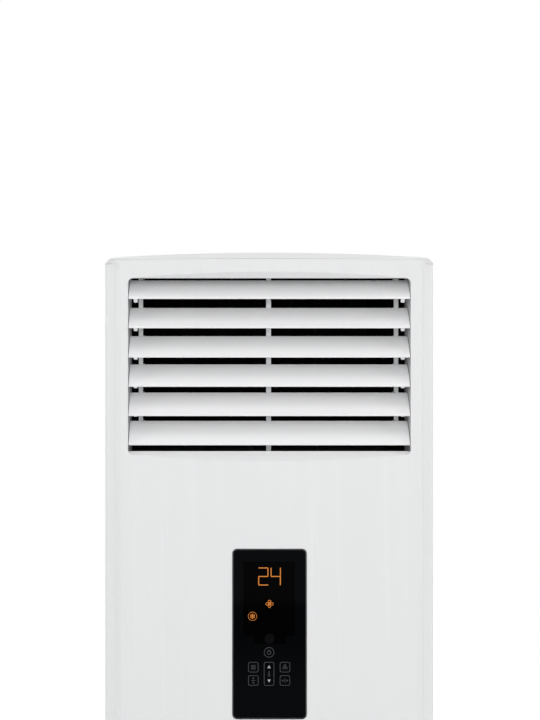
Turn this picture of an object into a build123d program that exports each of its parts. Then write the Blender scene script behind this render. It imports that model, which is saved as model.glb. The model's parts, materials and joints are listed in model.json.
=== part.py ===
from build123d import *
import math
import os

os.makedirs("parts", exist_ok=True)

# Floor standing air conditioner, in millimetres.
# +Z is up, the front faces -Y and +X is to the right seen from the front.
# The origin lies on the floor under the middle of the cabinet.

# ---- Cabinet -----------------------------------------------------------------------------
WIDTH = 540.0            # over the two columns
DEPTH = 410.0            # crown of the bowed front to the rear panel
HEIGHT = 1825.0          # floor to the crown of the top cover
SHEET = 1.0              # painted sheet steel of the sides and rear
PRESSED = 2.0            # heavier steel of the base pan and brackets
PANEL = 3.0              # moulded front panels and trims
SEAM = 0.6               # gap where two outer panels meet
FIT = 0.3                # clearance of a seated piece
RUN = 0.05               # radial running clearance of a pin in its hole

# ---- Bowed front -------------------------------------------------------------------------
COLUMN_WIDTH = 18.5      # plain strip each side of the fascia
BEVEL_WIDTH = 8.0        # sloping edge of the fascia, seen from the front
BEVEL_DEPTH = 7.0
BEVEL_OVERRUN = 1.05     # the bevel is drawn past the bow, which then cuts it
BOW = 11.0               # how far the middle of the front stands ahead of its edges
PANEL_RETURN = 10.0      # depth of the panels' side walls behind the bevel
COLUMN_CORNER = 6.0
COLUMN_DEPTH = 28.0

# ---- Heights of the front ----------------------------------------------------------------
FOOT_HEIGHT = 14.0
PLINTH_LOW = 5.0
PLINTH_TOP = 95.0
INTAKE_LOW = 97.0
FASCIA_LOW = 780.0
INTAKE_SEAM = 1.5        # shadow gap above the hinged intake panel
CROWN_RISE = 10.5        # rise of the top's arch between its shoulders
CHAMFER_RUN = 11.0       # end chamfers of the arch, across and down
CHAMFER_DROP = 8.2
FRONT_EDGE_DROP = 13.0   # horizontal edge line below the crown
HEADER_DROP = 20.0       # underside of the header that laps over the columns
HEADER_COVE = 10.0       # inner corner between header and fascia edge
TOP_SLOPE_RUN = 34.0     # depth of the sloping lens facet behind the edge line

# ---- Air outlet --------------------------------------------------------------------------
OPENING_MARGIN = 38.3    # side of the cabinet to the opening
OPENING_DROP = 44.0      # top edge of the opening below the crown
OPENING_HEIGHT = 288.6
OPENING_CORNER = 8.0
SURROUND = 13.0          # sloping border that joins the bow to the flat outlet
SURROUND_SEAT = 3.5
FRAME_WALL = 3.0
FRAME_DEPTH = 68.0
VANE_HEADROOM = 12.0     # room above the opening over the upright vanes
LINK_HEADROOM = 23.0     # room above the opening for the link bars of closed blades
POST_WIDTH = 7.9
POST_DEPTH = 13.0

# ---- Horizontal blades -------------------------------------------------------------------
BLADES = 6
BLADE_PITCH = 47.4
BLADE_FRONT = 27.5       # pivot line to the front edge
BLADE_REAR = 19.2        # pivot line to the rear edge
BLADE_THICK = 2.2
BLADE_CAMBER = 2.6
BLADE_RISE = 6.0         # blade's skin above its pivot line
BLADE_LIP = 2.2
BLADE_END_GAP = 0.9
PIVOT_SETBACK = 24.0     # pivot line behind the outlet plane
FIRST_PIVOT_DROP = 59.6  # top pivot below the crown
TOP_BLADE_TILT = 40.0
TILT_STEP = 1.7
CRANK = 35.0             # blade pivot to link bar pin
CRANK_ANGLE = 24.25      # direction of the cranks above the horizontal at rest
CRANK_INSET = 16.7       # opening's side to the middle of a link bar
PIN_RADIUS = 1.5
PIVOT_RADIUS = 2.5
LUG_WIDTH = 3.0
LUG_RADIUS = 4.5
LINK_WIDTH = 7.0
LINK_THICK = 6.0

# ---- Upright vanes -----------------------------------------------------------------------
VANES_EACH_SIDE = 4
VANE_INNER = 20.2        # first vane beside the middle
VANE_MARGIN = 18.3       # opening's side to the last vane
VANE_FRONT = 42.0
VANE_REAR = 27.0
VANE_THICK = 2.4
VANE_TURN = 30.0
VANE_SETBACK = 139.0     # vane pivots behind the outlet plane
VANE_CRANK = 20.0
VANE_GAP = 1.2
CASSETTE_DEPTH = 96.0
CASSETTE_MARGIN = 28.0

# ---- Display -----------------------------------------------------------------------------
DISPLAY_WIDTH = 121.0
DISPLAY_HEIGHT = 277.5
DISPLAY_DROP = 763.0     # lower edge below the crown
DISPLAY_CORNER = 8.0
RIM = 2.1
RIM_DEPTH = 9.0
WINDOW_SINK = 0.4        # glass below the rim
WINDOW_THICK = 2.5
BOARD_THICK = 1.6

# ---- Worked out from the above -----------------------------------------------------------
FRONT = -DEPTH / 2
BACK = DEPTH / 2
HALF = WIDTH / 2
SHOULDER_HALF = HALF - CHAMFER_RUN
PANEL_HALF = HALF - COLUMN_WIDTH
FASCIA_HALF = PANEL_HALF - BEVEL_WIDTH
BOW_RADIUS = (FASCIA_HALF**2 + BOW**2) / (2 * BOW)
FASCIA_EDGE = FRONT + BOW
COLUMN_FRONT = FASCIA_EDGE + BEVEL_DEPTH
PANEL_BACK = COLUMN_FRONT + PANEL_RETURN
COLUMN_BACK = COLUMN_FRONT + COLUMN_DEPTH
EDGE_LINE = HEIGHT - FRONT_EDGE_DROP
HEADER_LOW = HEIGHT - HEADER_DROP
OPENING_HALF = HALF - OPENING_MARGIN
OPENING_TOP = HEIGHT - OPENING_DROP
OPENING_LOW = OPENING_TOP - OPENING_HEIGHT
OPENING_MIDDLE = (OPENING_TOP + OPENING_LOW) / 2
CRANK_X = OPENING_HALF - CRANK_INSET
VANE_PITCH = (OPENING_HALF - VANE_MARGIN - VANE_INNER) / (VANES_EACH_SIDE - 1)
VANE_PIVOTS = tuple(VANE_INNER + n * VANE_PITCH for n in range(VANES_EACH_SIDE))
CASSETTE_HALF = HALF - CASSETTE_MARGIN
DISPLAY_LOW = HEIGHT - DISPLAY_DROP
DISPLAY_TOP = DISPLAY_LOW + DISPLAY_HEIGHT


def bow_y(x, setback=0.0):
    """Depth of the bowed front at x, or of a surface set back behind it."""
    return FRONT + setback + BOW_RADIUS - math.sqrt(BOW_RADIUS**2 - x**2)


OUTLET_PLANE = bow_y(OPENING_HALF)


# ---- Plain shapes ------------------------------------------------------------------------
def block(x0, x1, y0, y1, z0, z1):
    """Rectangular solid between two opposite corners."""
    return Pos((x0 + x1) / 2, (y0 + y1) / 2, (z0 + z1) / 2) * Box(x1 - x0, y1 - y0, z1 - z0)


def rod(axis, first, second, start, end, radius):
    """Round bar along an axis; first and second place it on the two other axes."""
    length = end - start
    middle = (start + end) / 2
    if axis == "X":
        return Pos(middle, first, second) * Rot(0, 90, 0) * Cylinder(radius, length)
    if axis == "Y":
        return Pos(first, middle, second) * Rot(90, 0, 0) * Cylinder(radius, length)
    return Pos(first, second, middle) * Cylinder(radius, length)


def front_plane(y):
    """Plane at depth y that faces the front; its sketches are in X and Z."""
    return Plane(origin=(0, y, 0), x_dir=(1, 0, 0), z_dir=(0, -1, 0))


def side_plane(x):
    """Plane at x that faces +X; its sketches are in Y and Z."""
    return Plane(origin=(x, 0, 0), x_dir=(0, 1, 0), z_dir=(1, 0, 0))


def front_slab(half, low, high, corner, y0, y1, x=0.0):
    """Rounded rectangle seen from the front, from depth y0 back to depth y1."""
    outline = Pos(x, (low + high) / 2) * RectangleRounded(2 * half, high - low, corner)
    return extrude(front_plane(y1) * outline, amount=y1 - y0)


def mirrored(shape):
    """The same piece on the other side of the cabinet."""
    return mirror(shape, about=Plane.YZ)


def panel_plan(inset, back):
    """Plan of the bowed front panels with their bevels, drawn in by a wall of inset."""
    arc_half = FASCIA_HALF - 0.6 * inset
    side_half = PANEL_HALF - inset
    arc_y = bow_y(arc_half, inset)
    side_y = COLUMN_FRONT + 0.6 * inset
    front = ThreePointArc((-arc_half, arc_y), (0, FRONT + inset), (arc_half, arc_y))
    rest = Polyline((arc_half, arc_y), (side_half, side_y), (side_half, back),
                    (-side_half, back), (-side_half, side_y), (-arc_half, arc_y))
    return make_face([front, rest])


def panel_prism(inset, back, low, high):
    """Upright prism on the plan of the front panels."""
    return Pos(0, 0, low) * extrude(panel_plan(inset, back), amount=high - low)


def crown_prism(inset, y0, y1, low):
    """Everything under the arched and chamfered top line, from height low."""
    shoulder = SHOULDER_HALF - inset
    end = HALF - inset
    shoulder_z = HEIGHT - CROWN_RISE - inset
    arch = ThreePointArc((-shoulder, shoulder_z), (0, HEIGHT - inset), (shoulder, shoulder_z))
    rest = Polyline((shoulder, shoulder_z), (end, shoulder_z - CHAMFER_DROP), (end, low),
                    (-end, low), (-end, shoulder_z - CHAMFER_DROP), (-shoulder, shoulder_z))
    return extrude(front_plane(y1) * make_face([arch, rest]), amount=y1 - y0)


# ---- Cabinet -----------------------------------------------------------------------------
PAN_WALL = 40.0
PAN_FRONT = COLUMN_BACK + FIT
ANCHOR_X = WIDTH - 140
ANCHOR_Y = DEPTH - 130
ANCHOR_RADIUS = 6.0
FOOT_RADIUS = 22.0
FOOT_TAPER = 4.0
FOOT_X = HALF - 45
FOOT_INSET = 26.0
SIDE_FLANGE = 26.0
PIPE_HOLE_X = 150.0
PIPE_HOLE_Z = 190.0
PIPE_HOLE_RADIUS = 35.0
CABLE_HOLE_X = HALF - 55
CABLE_HOLE_Z = 300.0
CABLE_HOLE_RADIUS = 11.0
SCREW_RADIUS = 2.0
SCREW_HEAD = 4.2
BEAD_DEPTH = 4.0
PIPE_BORE = 30.0
CABLE_BORE = 5.5
SCREW_ROWS = 6
LOWEST_SCREW = 120.0
SCREW_PITCH = (HEIGHT - LOWEST_SCREW - 55) / (SCREW_ROWS - 1)
BEAD_HALF_WIDTH = 60.0
BEAD_HALF_HEIGHT = 190.0
BEAD_PLACES = (0.307 * HEIGHT, 0.70 * HEIGHT)
BRACKET_HALF = 70.0
BRACKET_HOLE_X = 45.0
BRACKET_HOLE_Z = HEIGHT - 90
BRACKET_HOLE_RADIUS = 5.0

PAN_TOP = FOOT_HEIGHT + PAN_WALL
REAR_FACE = BACK - PRESSED
SIDE_BACK = REAR_FACE - SHEET
COVER_LOW = HEADER_LOW
PANEL_Z0 = FOOT_HEIGHT + PRESSED


def make_base_pan():
    """Pressed tray with a turned-up rim, four anchor holes and two raised beads."""
    half = HALF - SHEET
    back = SIDE_BACK
    tray = block(-half, half, PAN_FRONT, back, FOOT_HEIGHT, PAN_TOP)
    tray -= block(-half + PRESSED, half - PRESSED, PAN_FRONT + PRESSED, back - PRESSED,
                  FOOT_HEIGHT + PRESSED, PAN_TOP + 1)
    for x in (-ANCHOR_X / 2, ANCHOR_X / 2):
        for y in (-ANCHOR_Y / 2, ANCHOR_Y / 2):
            tray -= rod("Z", x, y, FOOT_HEIGHT - 1, FOOT_HEIGHT + PRESSED + 1, ANCHOR_RADIUS)
        tray += block(x * 0.5 - 9, x * 0.5 + 9, -ANCHOR_Y / 2, ANCHOR_Y / 2,
                      FOOT_HEIGHT + PRESSED, FOOT_HEIGHT + PRESSED + BEAD_DEPTH)
    return tray


def make_base_feet():
    """Four tapered rubber feet with hollow undersides."""
    profile = Polyline((8, 0), (FOOT_RADIUS - FOOT_TAPER, 0), (FOOT_RADIUS, FOOT_HEIGHT - 3),
                       (FOOT_RADIUS, FOOT_HEIGHT), (0, FOOT_HEIGHT), (0, 5), (8, 5), close=True)
    foot = revolve(Plane.XZ * make_face(profile), Axis.Z)
    rows = (PAN_FRONT + FOOT_INSET, SIDE_BACK - FOOT_INSET)
    feet = [Pos(x, y, 0) * foot for x in (-FOOT_X, FOOT_X) for y in rows]
    return Compound(children=feet)


def make_plinth():
    """Kick panel that continues the bowed front to the floor and wraps the sides."""
    outer = panel_prism(0, PANEL_BACK, PLINTH_LOW, PLINTH_TOP)
    wrap = block(-HALF, HALF, COLUMN_FRONT, COLUMN_BACK, PLINTH_LOW, PLINTH_TOP)
    inner = panel_prism(PANEL, PANEL_BACK + 1, PLINTH_LOW - 1, PLINTH_TOP - PANEL)
    hollow = block(-HALF + PANEL, HALF - PANEL, COLUMN_FRONT + PANEL, COLUMN_BACK + 1,
                   PLINTH_LOW - 1, PLINTH_TOP - PANEL)
    return outer + wrap - inner - hollow


def make_side_panel():
    """Right side sheet with turned flanges front and rear."""
    low = PANEL_Z0
    high = COVER_LOW - FIT
    front = COLUMN_BACK + SEAM
    sheet = block(HALF - SHEET, HALF, front, SIDE_BACK, low, high)
    sheet += block(HALF - SIDE_FLANGE, HALF, front, front + SHEET, PLINTH_TOP, high)
    sheet += block(HALF - SIDE_FLANGE, HALF, SIDE_BACK - SHEET, SIDE_BACK, PAN_TOP + 1, high)
    for x, z in rear_screw_points():
        sheet -= rod("Y", x, z, SIDE_BACK - 4, BACK, SCREW_RADIUS + RUN)
    return sheet


def make_column():
    """Right front column: a closed channel with a rounded outer corner."""
    inner = PANEL_HALF + SEAM
    low = PLINTH_TOP + SEAM
    high = HEADER_LOW - FIT
    solid = block(inner, HALF, COLUMN_FRONT, COLUMN_BACK, low, high)
    solid = fillet(solid.edges().filter_by(Axis.Z).group_by(Axis.Y)[0].sort_by(Axis.X)[-1],
                   COLUMN_CORNER)
    return solid - block(inner + PANEL, HALF - PANEL, COLUMN_FRONT + PANEL, COLUMN_BACK + 1,
                         low - 1, high + 1)


def make_rear_panel():
    """Rear sheet with stiffening channels, the pipe and cable holes and bracket slots."""
    half = HALF - FIT
    low = PANEL_Z0
    high = COVER_LOW - FIT
    sheet = block(-half, half, SIDE_BACK, REAR_FACE, low, high)
    for x in (-HALF * 0.45, HALF * 0.45):
        for z in BEAD_PLACES:
            wide, tall = BEAD_HALF_WIDTH, BEAD_HALF_HEIGHT
            sheet += block(x - wide, x + wide, SIDE_BACK - BEAD_DEPTH, SIDE_BACK,
                           z - tall, z + tall)
            wide, tall = wide - 3 * SHEET, tall - 3 * SHEET
            sheet -= block(x - wide, x + wide, SIDE_BACK - BEAD_DEPTH + SHEET, BACK + 1,
                           z - tall, z + tall)
    sheet -= rod("Y", PIPE_HOLE_X, PIPE_HOLE_Z, SIDE_BACK - 9, BACK + 1, PIPE_HOLE_RADIUS)
    sheet -= rod("Y", CABLE_HOLE_X, CABLE_HOLE_Z, SIDE_BACK - 9, BACK + 1, CABLE_HOLE_RADIUS)
    for x in (-BRACKET_HOLE_X, BRACKET_HOLE_X):
        sheet -= rod("Y", x, BRACKET_HOLE_Z, SIDE_BACK - 1, BACK + 1, 2 * BRACKET_HOLE_RADIUS)
    for x, z in rear_screw_points():
        sheet -= rod("Y", x, z, SIDE_BACK - 1, BACK + 1, SCREW_RADIUS + RUN)
    return sheet


def rear_screw_points():
    """Where the rear panel is screwed to the side panels' flanges."""
    x = HALF - 9
    rows = [LOWEST_SCREW + n * SCREW_PITCH for n in range(SCREW_ROWS)]
    return [(side * x, z) for side in (-1, 1) for z in rows]


def make_rear_screws():
    """Pan-head screws that hold the rear panel."""
    screws = []
    for x, z in rear_screw_points():
        screw = rod("Y", x, z, SIDE_BACK - 7, REAR_FACE, SCREW_RADIUS)
        screws.append(screw + rod("Y", x, z, REAR_FACE, REAR_FACE + 1.8, SCREW_HEAD))
    return Compound(children=screws)


def make_wall_bracket():
    """Steel strip on the rear with two holes for the anti-tip wall bolts."""
    plate = front_slab(BRACKET_HALF, BRACKET_HOLE_Z - 40, BRACKET_HOLE_Z + 22, 8, REAR_FACE, BACK)
    for x in (-BRACKET_HOLE_X, BRACKET_HOLE_X):
        plate -= rod("Y", x, BRACKET_HOLE_Z, REAR_FACE - 1, BACK + 1, BRACKET_HOLE_RADIUS)
    return plate


def grommet(x, z, hole, bore):
    """Rubber ring that lines a hole in the rear sheet."""
    ring = rod("Y", x, z, SIDE_BACK - 3, SIDE_BACK, hole + 6)
    ring += rod("Y", x, z, SIDE_BACK, REAR_FACE + 1.5, hole - FIT)
    return ring - rod("Y", x, z, SIDE_BACK - 4, BACK, bore)


def make_grommets():
    """Liners of the pipe hole and of the mains cable hole."""
    pipes = grommet(PIPE_HOLE_X, PIPE_HOLE_Z, PIPE_HOLE_RADIUS, PIPE_BORE)
    cable = grommet(CABLE_HOLE_X, CABLE_HOLE_Z, CABLE_HOLE_RADIUS, CABLE_BORE)
    return Compound(children=[pipes, cable])


def make_top_cover():
    """Crowned cover: arched across, chamfered at its ends, with a sloping front facet."""
    cover = crown_prism(0, FRONT - 1, BACK, COVER_LOW)
    cover -= crown_prism(PANEL, COLUMN_FRONT + PANEL, BACK - PANEL, COVER_LOW - 1)
    cover &= bow_solid(0, BACK, COVER_LOW - 1, HEIGHT + 1)
    cover -= block(-HALF - 1, HALF + 1, FRONT - 1, COLUMN_FRONT + FIT, COVER_LOW - 1, EDGE_LINE)
    cover -= block(-PANEL_HALF - FIT, PANEL_HALF + FIT, FRONT - 1, PANEL_BACK + FIT,
                   COVER_LOW - 1, EDGE_LINE)
    slope = Polyline((FRONT - 5, EDGE_LINE - 5 * FRONT_EDGE_DROP / TOP_SLOPE_RUN),
                     (FRONT + TOP_SLOPE_RUN, HEIGHT), (FRONT + TOP_SLOPE_RUN, HEIGHT + 20),
                     (FRONT - 5, HEIGHT + 20), close=True)
    return cover - extrude(side_plane(-HALF - 5) * make_face(slope), amount=WIDTH + 10)


def bow_solid(setback, back, low, high):
    """Full-width solid behind the bowed front surface."""
    half = HALF + 4
    edge = bow_y(half, setback)
    front = ThreePointArc((-half, edge), (0, FRONT + setback), (half, edge))
    rest = Polyline((half, edge), (half, back), (-half, back), (-half, edge))
    return Pos(0, 0, low) * extrude(make_face([front, rest]), amount=high - low)


def tee_outline(inset):
    """Front outline of the fascia: its stem between the columns, the header across them."""
    stem = PANEL_HALF - inset
    head = HALF - inset
    shelf = HEADER_LOW + inset
    low = FASCIA_LOW - 20
    high = HEIGHT + 20
    points = [(-stem, low), (stem, low), (stem, shelf), (head, shelf), (head, high),
              (-head, high), (-head, shelf), (-stem, shelf)]
    face = make_face(Polyline(*points, close=True))
    coves = [v for v in face.vertices()
             if abs(v.Y - shelf) < 0.01 and abs(abs(v.X) - stem) < 0.01]
    return fillet(coves, HEADER_COVE + inset)


def make_fascia():
    """Bowed upper front panel with its bevelled edge, outlet opening and display pocket."""
    back_face = front_plane(COLUMN_FRONT) * tee_outline(0)
    front_face = (front_plane(COLUMN_FRONT - BEVEL_OVERRUN * BEVEL_DEPTH)
                  * tee_outline(BEVEL_OVERRUN * BEVEL_WIDTH))
    solid = loft([back_face.face(), front_face.face()], ruled=True)
    solid += extrude(front_face, amount=BOW + 1)
    solid += panel_prism(0, PANEL_BACK, FASCIA_LOW, EDGE_LINE - FIT)
    solid &= bow_solid(0, PANEL_BACK, FASCIA_LOW, EDGE_LINE - FIT)
    solid &= crown_prism(0, FRONT - 1, PANEL_BACK, FASCIA_LOW)
    shell = solid - panel_prism(PANEL, PANEL_BACK + 1, FASCIA_LOW + PANEL,
                                EDGE_LINE - FIT - PANEL)
    border = front_slab(OPENING_HALF + SURROUND, OPENING_LOW - SURROUND,
                        OPENING_TOP + SURROUND, OPENING_CORNER + SURROUND,
                        FRONT - 1, OUTLET_PLANE + SURROUND_SEAT)
    shell += border & solid
    shell -= front_slab(OPENING_HALF, OPENING_LOW, OPENING_TOP, OPENING_CORNER,
                        FRONT - 1, PANEL_BACK + 1)
    flare = OUTLET_PLANE - FRONT + 1
    opening = RectangleRounded(2 * OPENING_HALF, OPENING_HEIGHT, OPENING_CORNER)
    flared = RectangleRounded(2 * (OPENING_HALF + flare), OPENING_HEIGHT + 2 * flare,
                              OPENING_CORNER + flare)
    inner = front_plane(OUTLET_PLANE) * Pos(0, OPENING_MIDDLE) * opening
    outer = front_plane(OUTLET_PLANE - flare) * Pos(0, OPENING_MIDDLE) * flared
    shell -= loft([inner.face(), outer.face()], ruled=True)
    shell -= front_slab(DISPLAY_WIDTH / 2 + FIT, DISPLAY_LOW - FIT,
                        DISPLAY_TOP + FIT, DISPLAY_CORNER + FIT,
                        FRONT - 1, PANEL_BACK + 1)
    return shell


HINGE_SETBACK = 10.5     # panel hinge line behind the crown of the bow
HINGE_DROP = 10.0        # below the fascia
HINGE_X = 140.0
TOP_ROLL = 8.0
SLOT_ROWS = 22
SLOT_PITCH = 20.0
SLOT_HEIGHT = 9.0
SLOT_LOW = 150.0
SLOT_HALF = HALF - 55
SLOT_RIB = 7.5

HINGE_Y = FRONT + HINGE_SETBACK
HINGE_Z = FASCIA_LOW - HINGE_DROP
INTAKE_HIGH = FASCIA_LOW - INTAKE_SEAM


def make_hinge_brackets():
    """Two pinned ears under the fascia that carry the intake panel."""
    ears = []
    for x in (-HINGE_X, HINGE_X):
        ear = block(x - 3, x + 3, HINGE_Y - 3, HINGE_Y + 9, HINGE_Z - 3, FASCIA_LOW + PANEL)
        ear -= block(x - 4, x + 4, HINGE_Y - 4, HINGE_Y + 1, HINGE_Z + 4, FASCIA_LOW)
        ears.append(ear + rod("X", HINGE_Y, HINGE_Z, x - 11, x + 11, PIN_RADIUS))
    return ears


def make_intake_panel():
    """Hinged lower panel with rows of intake slots and knuckles behind its rolled top edge."""
    shell = panel_prism(0, PANEL_BACK, INTAKE_LOW, INTAKE_HIGH)
    inner = panel_prism(PANEL, PANEL_BACK + 1, INTAKE_LOW + PANEL, INTAKE_HIGH - PANEL)
    roll = [e for e in shell.edges()
            if abs(e.center().Z - INTAKE_HIGH) < 0.01 and e.center().Y < FRONT + 1]
    shell = fillet(roll, TOP_ROLL) - inner
    rows = [SLOT_LOW + row * SLOT_PITCH for row in range(SLOT_ROWS)]
    span = (SLOT_HALF + SLOT_RIB / 2) / 2
    starts = [-SLOT_HALF + n * span for n in range(4)]
    shell -= [block(x, x + span - SLOT_RIB, FRONT - 1, FRONT + BOW + PANEL + 1, z,
                    z + SLOT_HEIGHT) for z in rows for x in starts]
    for x in (-HINGE_X, HINGE_X):
        shell -= block(x - 5, x + 5, HINGE_Y - 5, PANEL_BACK + 1, HINGE_Z - 6, INTAKE_HIGH + 1)
        for side in (-1, 1):
            near = x + side * 5.5
            far = x + side * 9.5
            shell += block(min(near, far), max(near, far), bow_y(x, PANEL) - 0.5, HINGE_Y + 3,
                           HINGE_Z - 16, HINGE_Z + 3)
        shell -= rod("X", HINGE_Y, HINGE_Z, x - 12, x + 12, PIN_RADIUS + RUN)
    return shell


# ---- Outlet: frame, post, blades and link bars ---------------------------------------------
FRAME_FRONT = OUTLET_PLANE + SURROUND_SEAT
FRAME_BACK = FRAME_FRONT + FRAME_DEPTH
FRAME_TOP = OPENING_TOP + LINK_HEADROOM
PIVOT_Y = OUTLET_PLANE + PIVOT_SETBACK
CRANK_Y = PIVOT_Y + CRANK * math.cos(math.radians(CRANK_ANGLE))
CRANK_RISE = CRANK * math.sin(math.radians(CRANK_ANGLE))
BLADE_HALF = OPENING_HALF - BLADE_END_GAP
DRIVEN_BLADE_Z = HEIGHT - FIRST_PIVOT_DROP - (BLADES // 2 - 1) * BLADE_PITCH
POST_FRONT = PIVOT_Y + BLADE_REAR + 2
EAR_DROP = 20.0
MID_LUG = 5.0
MOTOR_RADIUS = 12.0
MOTOR_LENGTH = 12.5


def pivot_z(index):
    """Height of a blade's pivot, counted from 0 at the top."""
    return HEIGHT - FIRST_PIVOT_DROP - index * BLADE_PITCH


def make_louvre_frame():
    """Rectangular frame behind the opening with the blades' pivot holes in its sides."""
    half = OPENING_HALF + FRAME_WALL
    frame = block(-half, half, FRAME_FRONT, FRAME_BACK, OPENING_LOW - FRAME_WALL,
                  FRAME_TOP + FRAME_WALL)
    frame -= block(-OPENING_HALF, OPENING_HALF, FRAME_FRONT - 1, FRAME_BACK + 1, OPENING_LOW,
                   FRAME_TOP)
    for index in range(BLADES):
        frame -= rod("X", PIVOT_Y, pivot_z(index), -half - 1, half + 1, PIVOT_RADIUS + RUN)
    return frame


def make_centre_post():
    """Upright rib behind the blades, with an ear and a pin under the middle of each."""
    half = POST_WIDTH / 2
    back = POST_FRONT + POST_DEPTH
    post = block(-half, half, POST_FRONT, back, OPENING_LOW, FRAME_TOP)
    reach = POST_FRONT - PIVOT_Y + 1
    outline = Polyline((-2.6, 1.6), (1.6, 3.0), (reach, 3.6 - EAR_DROP), (reach, -6 - EAR_DROP),
                       (-2.6, -2.6), close=True)
    ear = extrude(side_plane(-2) * make_face(outline), amount=4)
    ear += rod("X", 0, 0, -7.5, 7.5, PIN_RADIUS)
    for index in range(BLADES):
        post += Pos(0, PIVOT_Y, pivot_z(index)) * ear
    return post


def blade_section():
    """Section of a blade about its pivot: a cambered skin with a turned-down front lip."""
    front = -BLADE_FRONT
    back = BLADE_REAR
    low = BLADE_RISE - BLADE_CAMBER
    inner = front + 1.8
    upper = ThreePointArc((front, low), (-2, BLADE_RISE), (back, low + 0.8))
    rear = Line((back, low + 0.8), (back, low + 0.8 - BLADE_THICK))
    under = ThreePointArc((back, low + 0.8 - BLADE_THICK), (-2, BLADE_RISE - BLADE_THICK),
                          (inner, low - BLADE_THICK))
    lip = Polyline((inner, low - BLADE_THICK), (inner, low - BLADE_THICK - BLADE_LIP),
                   (front, low - BLADE_THICK - BLADE_LIP), (front, low))
    return make_face([upper, rear, under, lip])


def make_blade(index):
    """One blade with its end pivots, middle lugs and the two cranks to the link bars."""
    tilt = TOP_BLADE_TILT + index * TILT_STEP
    turn = Rot(0, 0, tilt)
    skin = extrude(side_plane(-BLADE_HALF) * (turn * blade_section()), amount=2 * BLADE_HALF)
    neck = Polyline((-LUG_RADIUS, 0), (LUG_RADIUS, 0), (LUG_RADIUS, BLADE_RISE - 1.5),
                    (-LUG_RADIUS, BLADE_RISE - 1.5), close=True)
    lug = Circle(LUG_RADIUS) + make_face(neck)
    angle = math.radians(CRANK_ANGLE)
    pin = (CRANK * math.cos(angle), CRANK * math.sin(angle))
    lean = math.radians(CRANK_ANGLE - tilt)
    tip = (CRANK * math.cos(lean), CRANK * math.sin(lean))
    root = BLADE_RISE - BLADE_THICK / 2
    web = Polyline((2, root), (BLADE_REAR - 4, root - 1), (tip[0] + 2, tip[1] + 2.2),
                   (tip[0] - 2, tip[1] - 2.4), (2, -2), close=True)
    arm = turn * (make_face(web) + Pos(*tip) * Circle(3.2))
    lug_x = OPENING_HALF - 9.7
    for at in (lug_x, -lug_x - LUG_WIDTH, MID_LUG, -MID_LUG - LUG_WIDTH / 2):
        width = LUG_WIDTH if abs(at) > 50 else LUG_WIDTH / 2
        skin += extrude(side_plane(at) * (turn * lug), amount=width)
    ear_x = CRANK_X - LINK_WIDTH / 2 - 2.6
    for at in (ear_x, -ear_x - 2):
        skin += extrude(side_plane(at) * arm, amount=2)
    skin -= rod("X", 0, 0, -20, 20, PIN_RADIUS + RUN)
    for start, end in ((lug_x, OPENING_HALF + FRAME_WALL - FIT),
                       (-OPENING_HALF - FRAME_WALL + FIT, -lug_x)):
        skin += rod("X", 0, 0, start, end, PIVOT_RADIUS)
    for start, end in ((ear_x, CRANK_X + LINK_WIDTH / 2 + 1),
                       (-CRANK_X - LINK_WIDTH / 2 - 1, -ear_x)):
        skin += rod("X", pin[0], pin[1], start, end, PIN_RADIUS)
    return Pos(0, PIVOT_Y, pivot_z(index)) * skin


def make_link_bars():
    """The two upright bars that tie the blades' cranks together."""
    low = pivot_z(BLADES - 1) + CRANK_RISE - LINK_THICK
    high = pivot_z(0) + CRANK_RISE + LINK_THICK / 2 + 0.8
    bar = block(CRANK_X - LINK_WIDTH / 2, CRANK_X + LINK_WIDTH / 2, CRANK_Y - LINK_THICK / 2,
                CRANK_Y + LINK_THICK / 2, low, high)
    for index in range(BLADES):
        bar -= rod("X", CRANK_Y, pivot_z(index) + CRANK_RISE, CRANK_X - LINK_WIDTH,
                   CRANK_X + LINK_WIDTH, PIN_RADIUS + RUN)
    return Compound(children=[bar, mirrored(bar)])


def make_louvre_motor():
    """Small geared stepper on the right wall of the louvre frame, on the driven pivot."""
    start = OPENING_HALF + FRAME_WALL
    z = DRIVEN_BLADE_Z
    motor = rod("X", PIVOT_Y, z, start, start + MOTOR_LENGTH, MOTOR_RADIUS)
    motor += block(start, start + 1.2, PIVOT_Y - 4, PIVOT_Y + 4, z - 19, z + 19)
    return motor + block(start + 3, start + MOTOR_LENGTH - 2, PIVOT_Y + 8,
                         PIVOT_Y + MOTOR_RADIUS, z - 7, z + 7)


# ---- Outlet: cassette of upright vanes -----------------------------------------------------
CASSETTE_WALL = 3.0
CASSETTE_BACK = FRAME_BACK + CASSETTE_DEPTH
CASSETTE_TOP = OPENING_TOP + VANE_HEADROOM
VANE_Y = OUTLET_PLANE + VANE_SETBACK
VANE_LOW = OPENING_LOW + 12
VANE_HIGH = CASSETTE_TOP - VANE_GAP
VANE_BAR_LOW = OPENING_LOW + 3.5
VANE_BAR_HIGH = VANE_LOW - 3.5
VANE_XS = tuple(-x for x in reversed(VANE_PIVOTS)) + VANE_PIVOTS
DRIVEN_VANE_X = VANE_PIVOTS[1]


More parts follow.
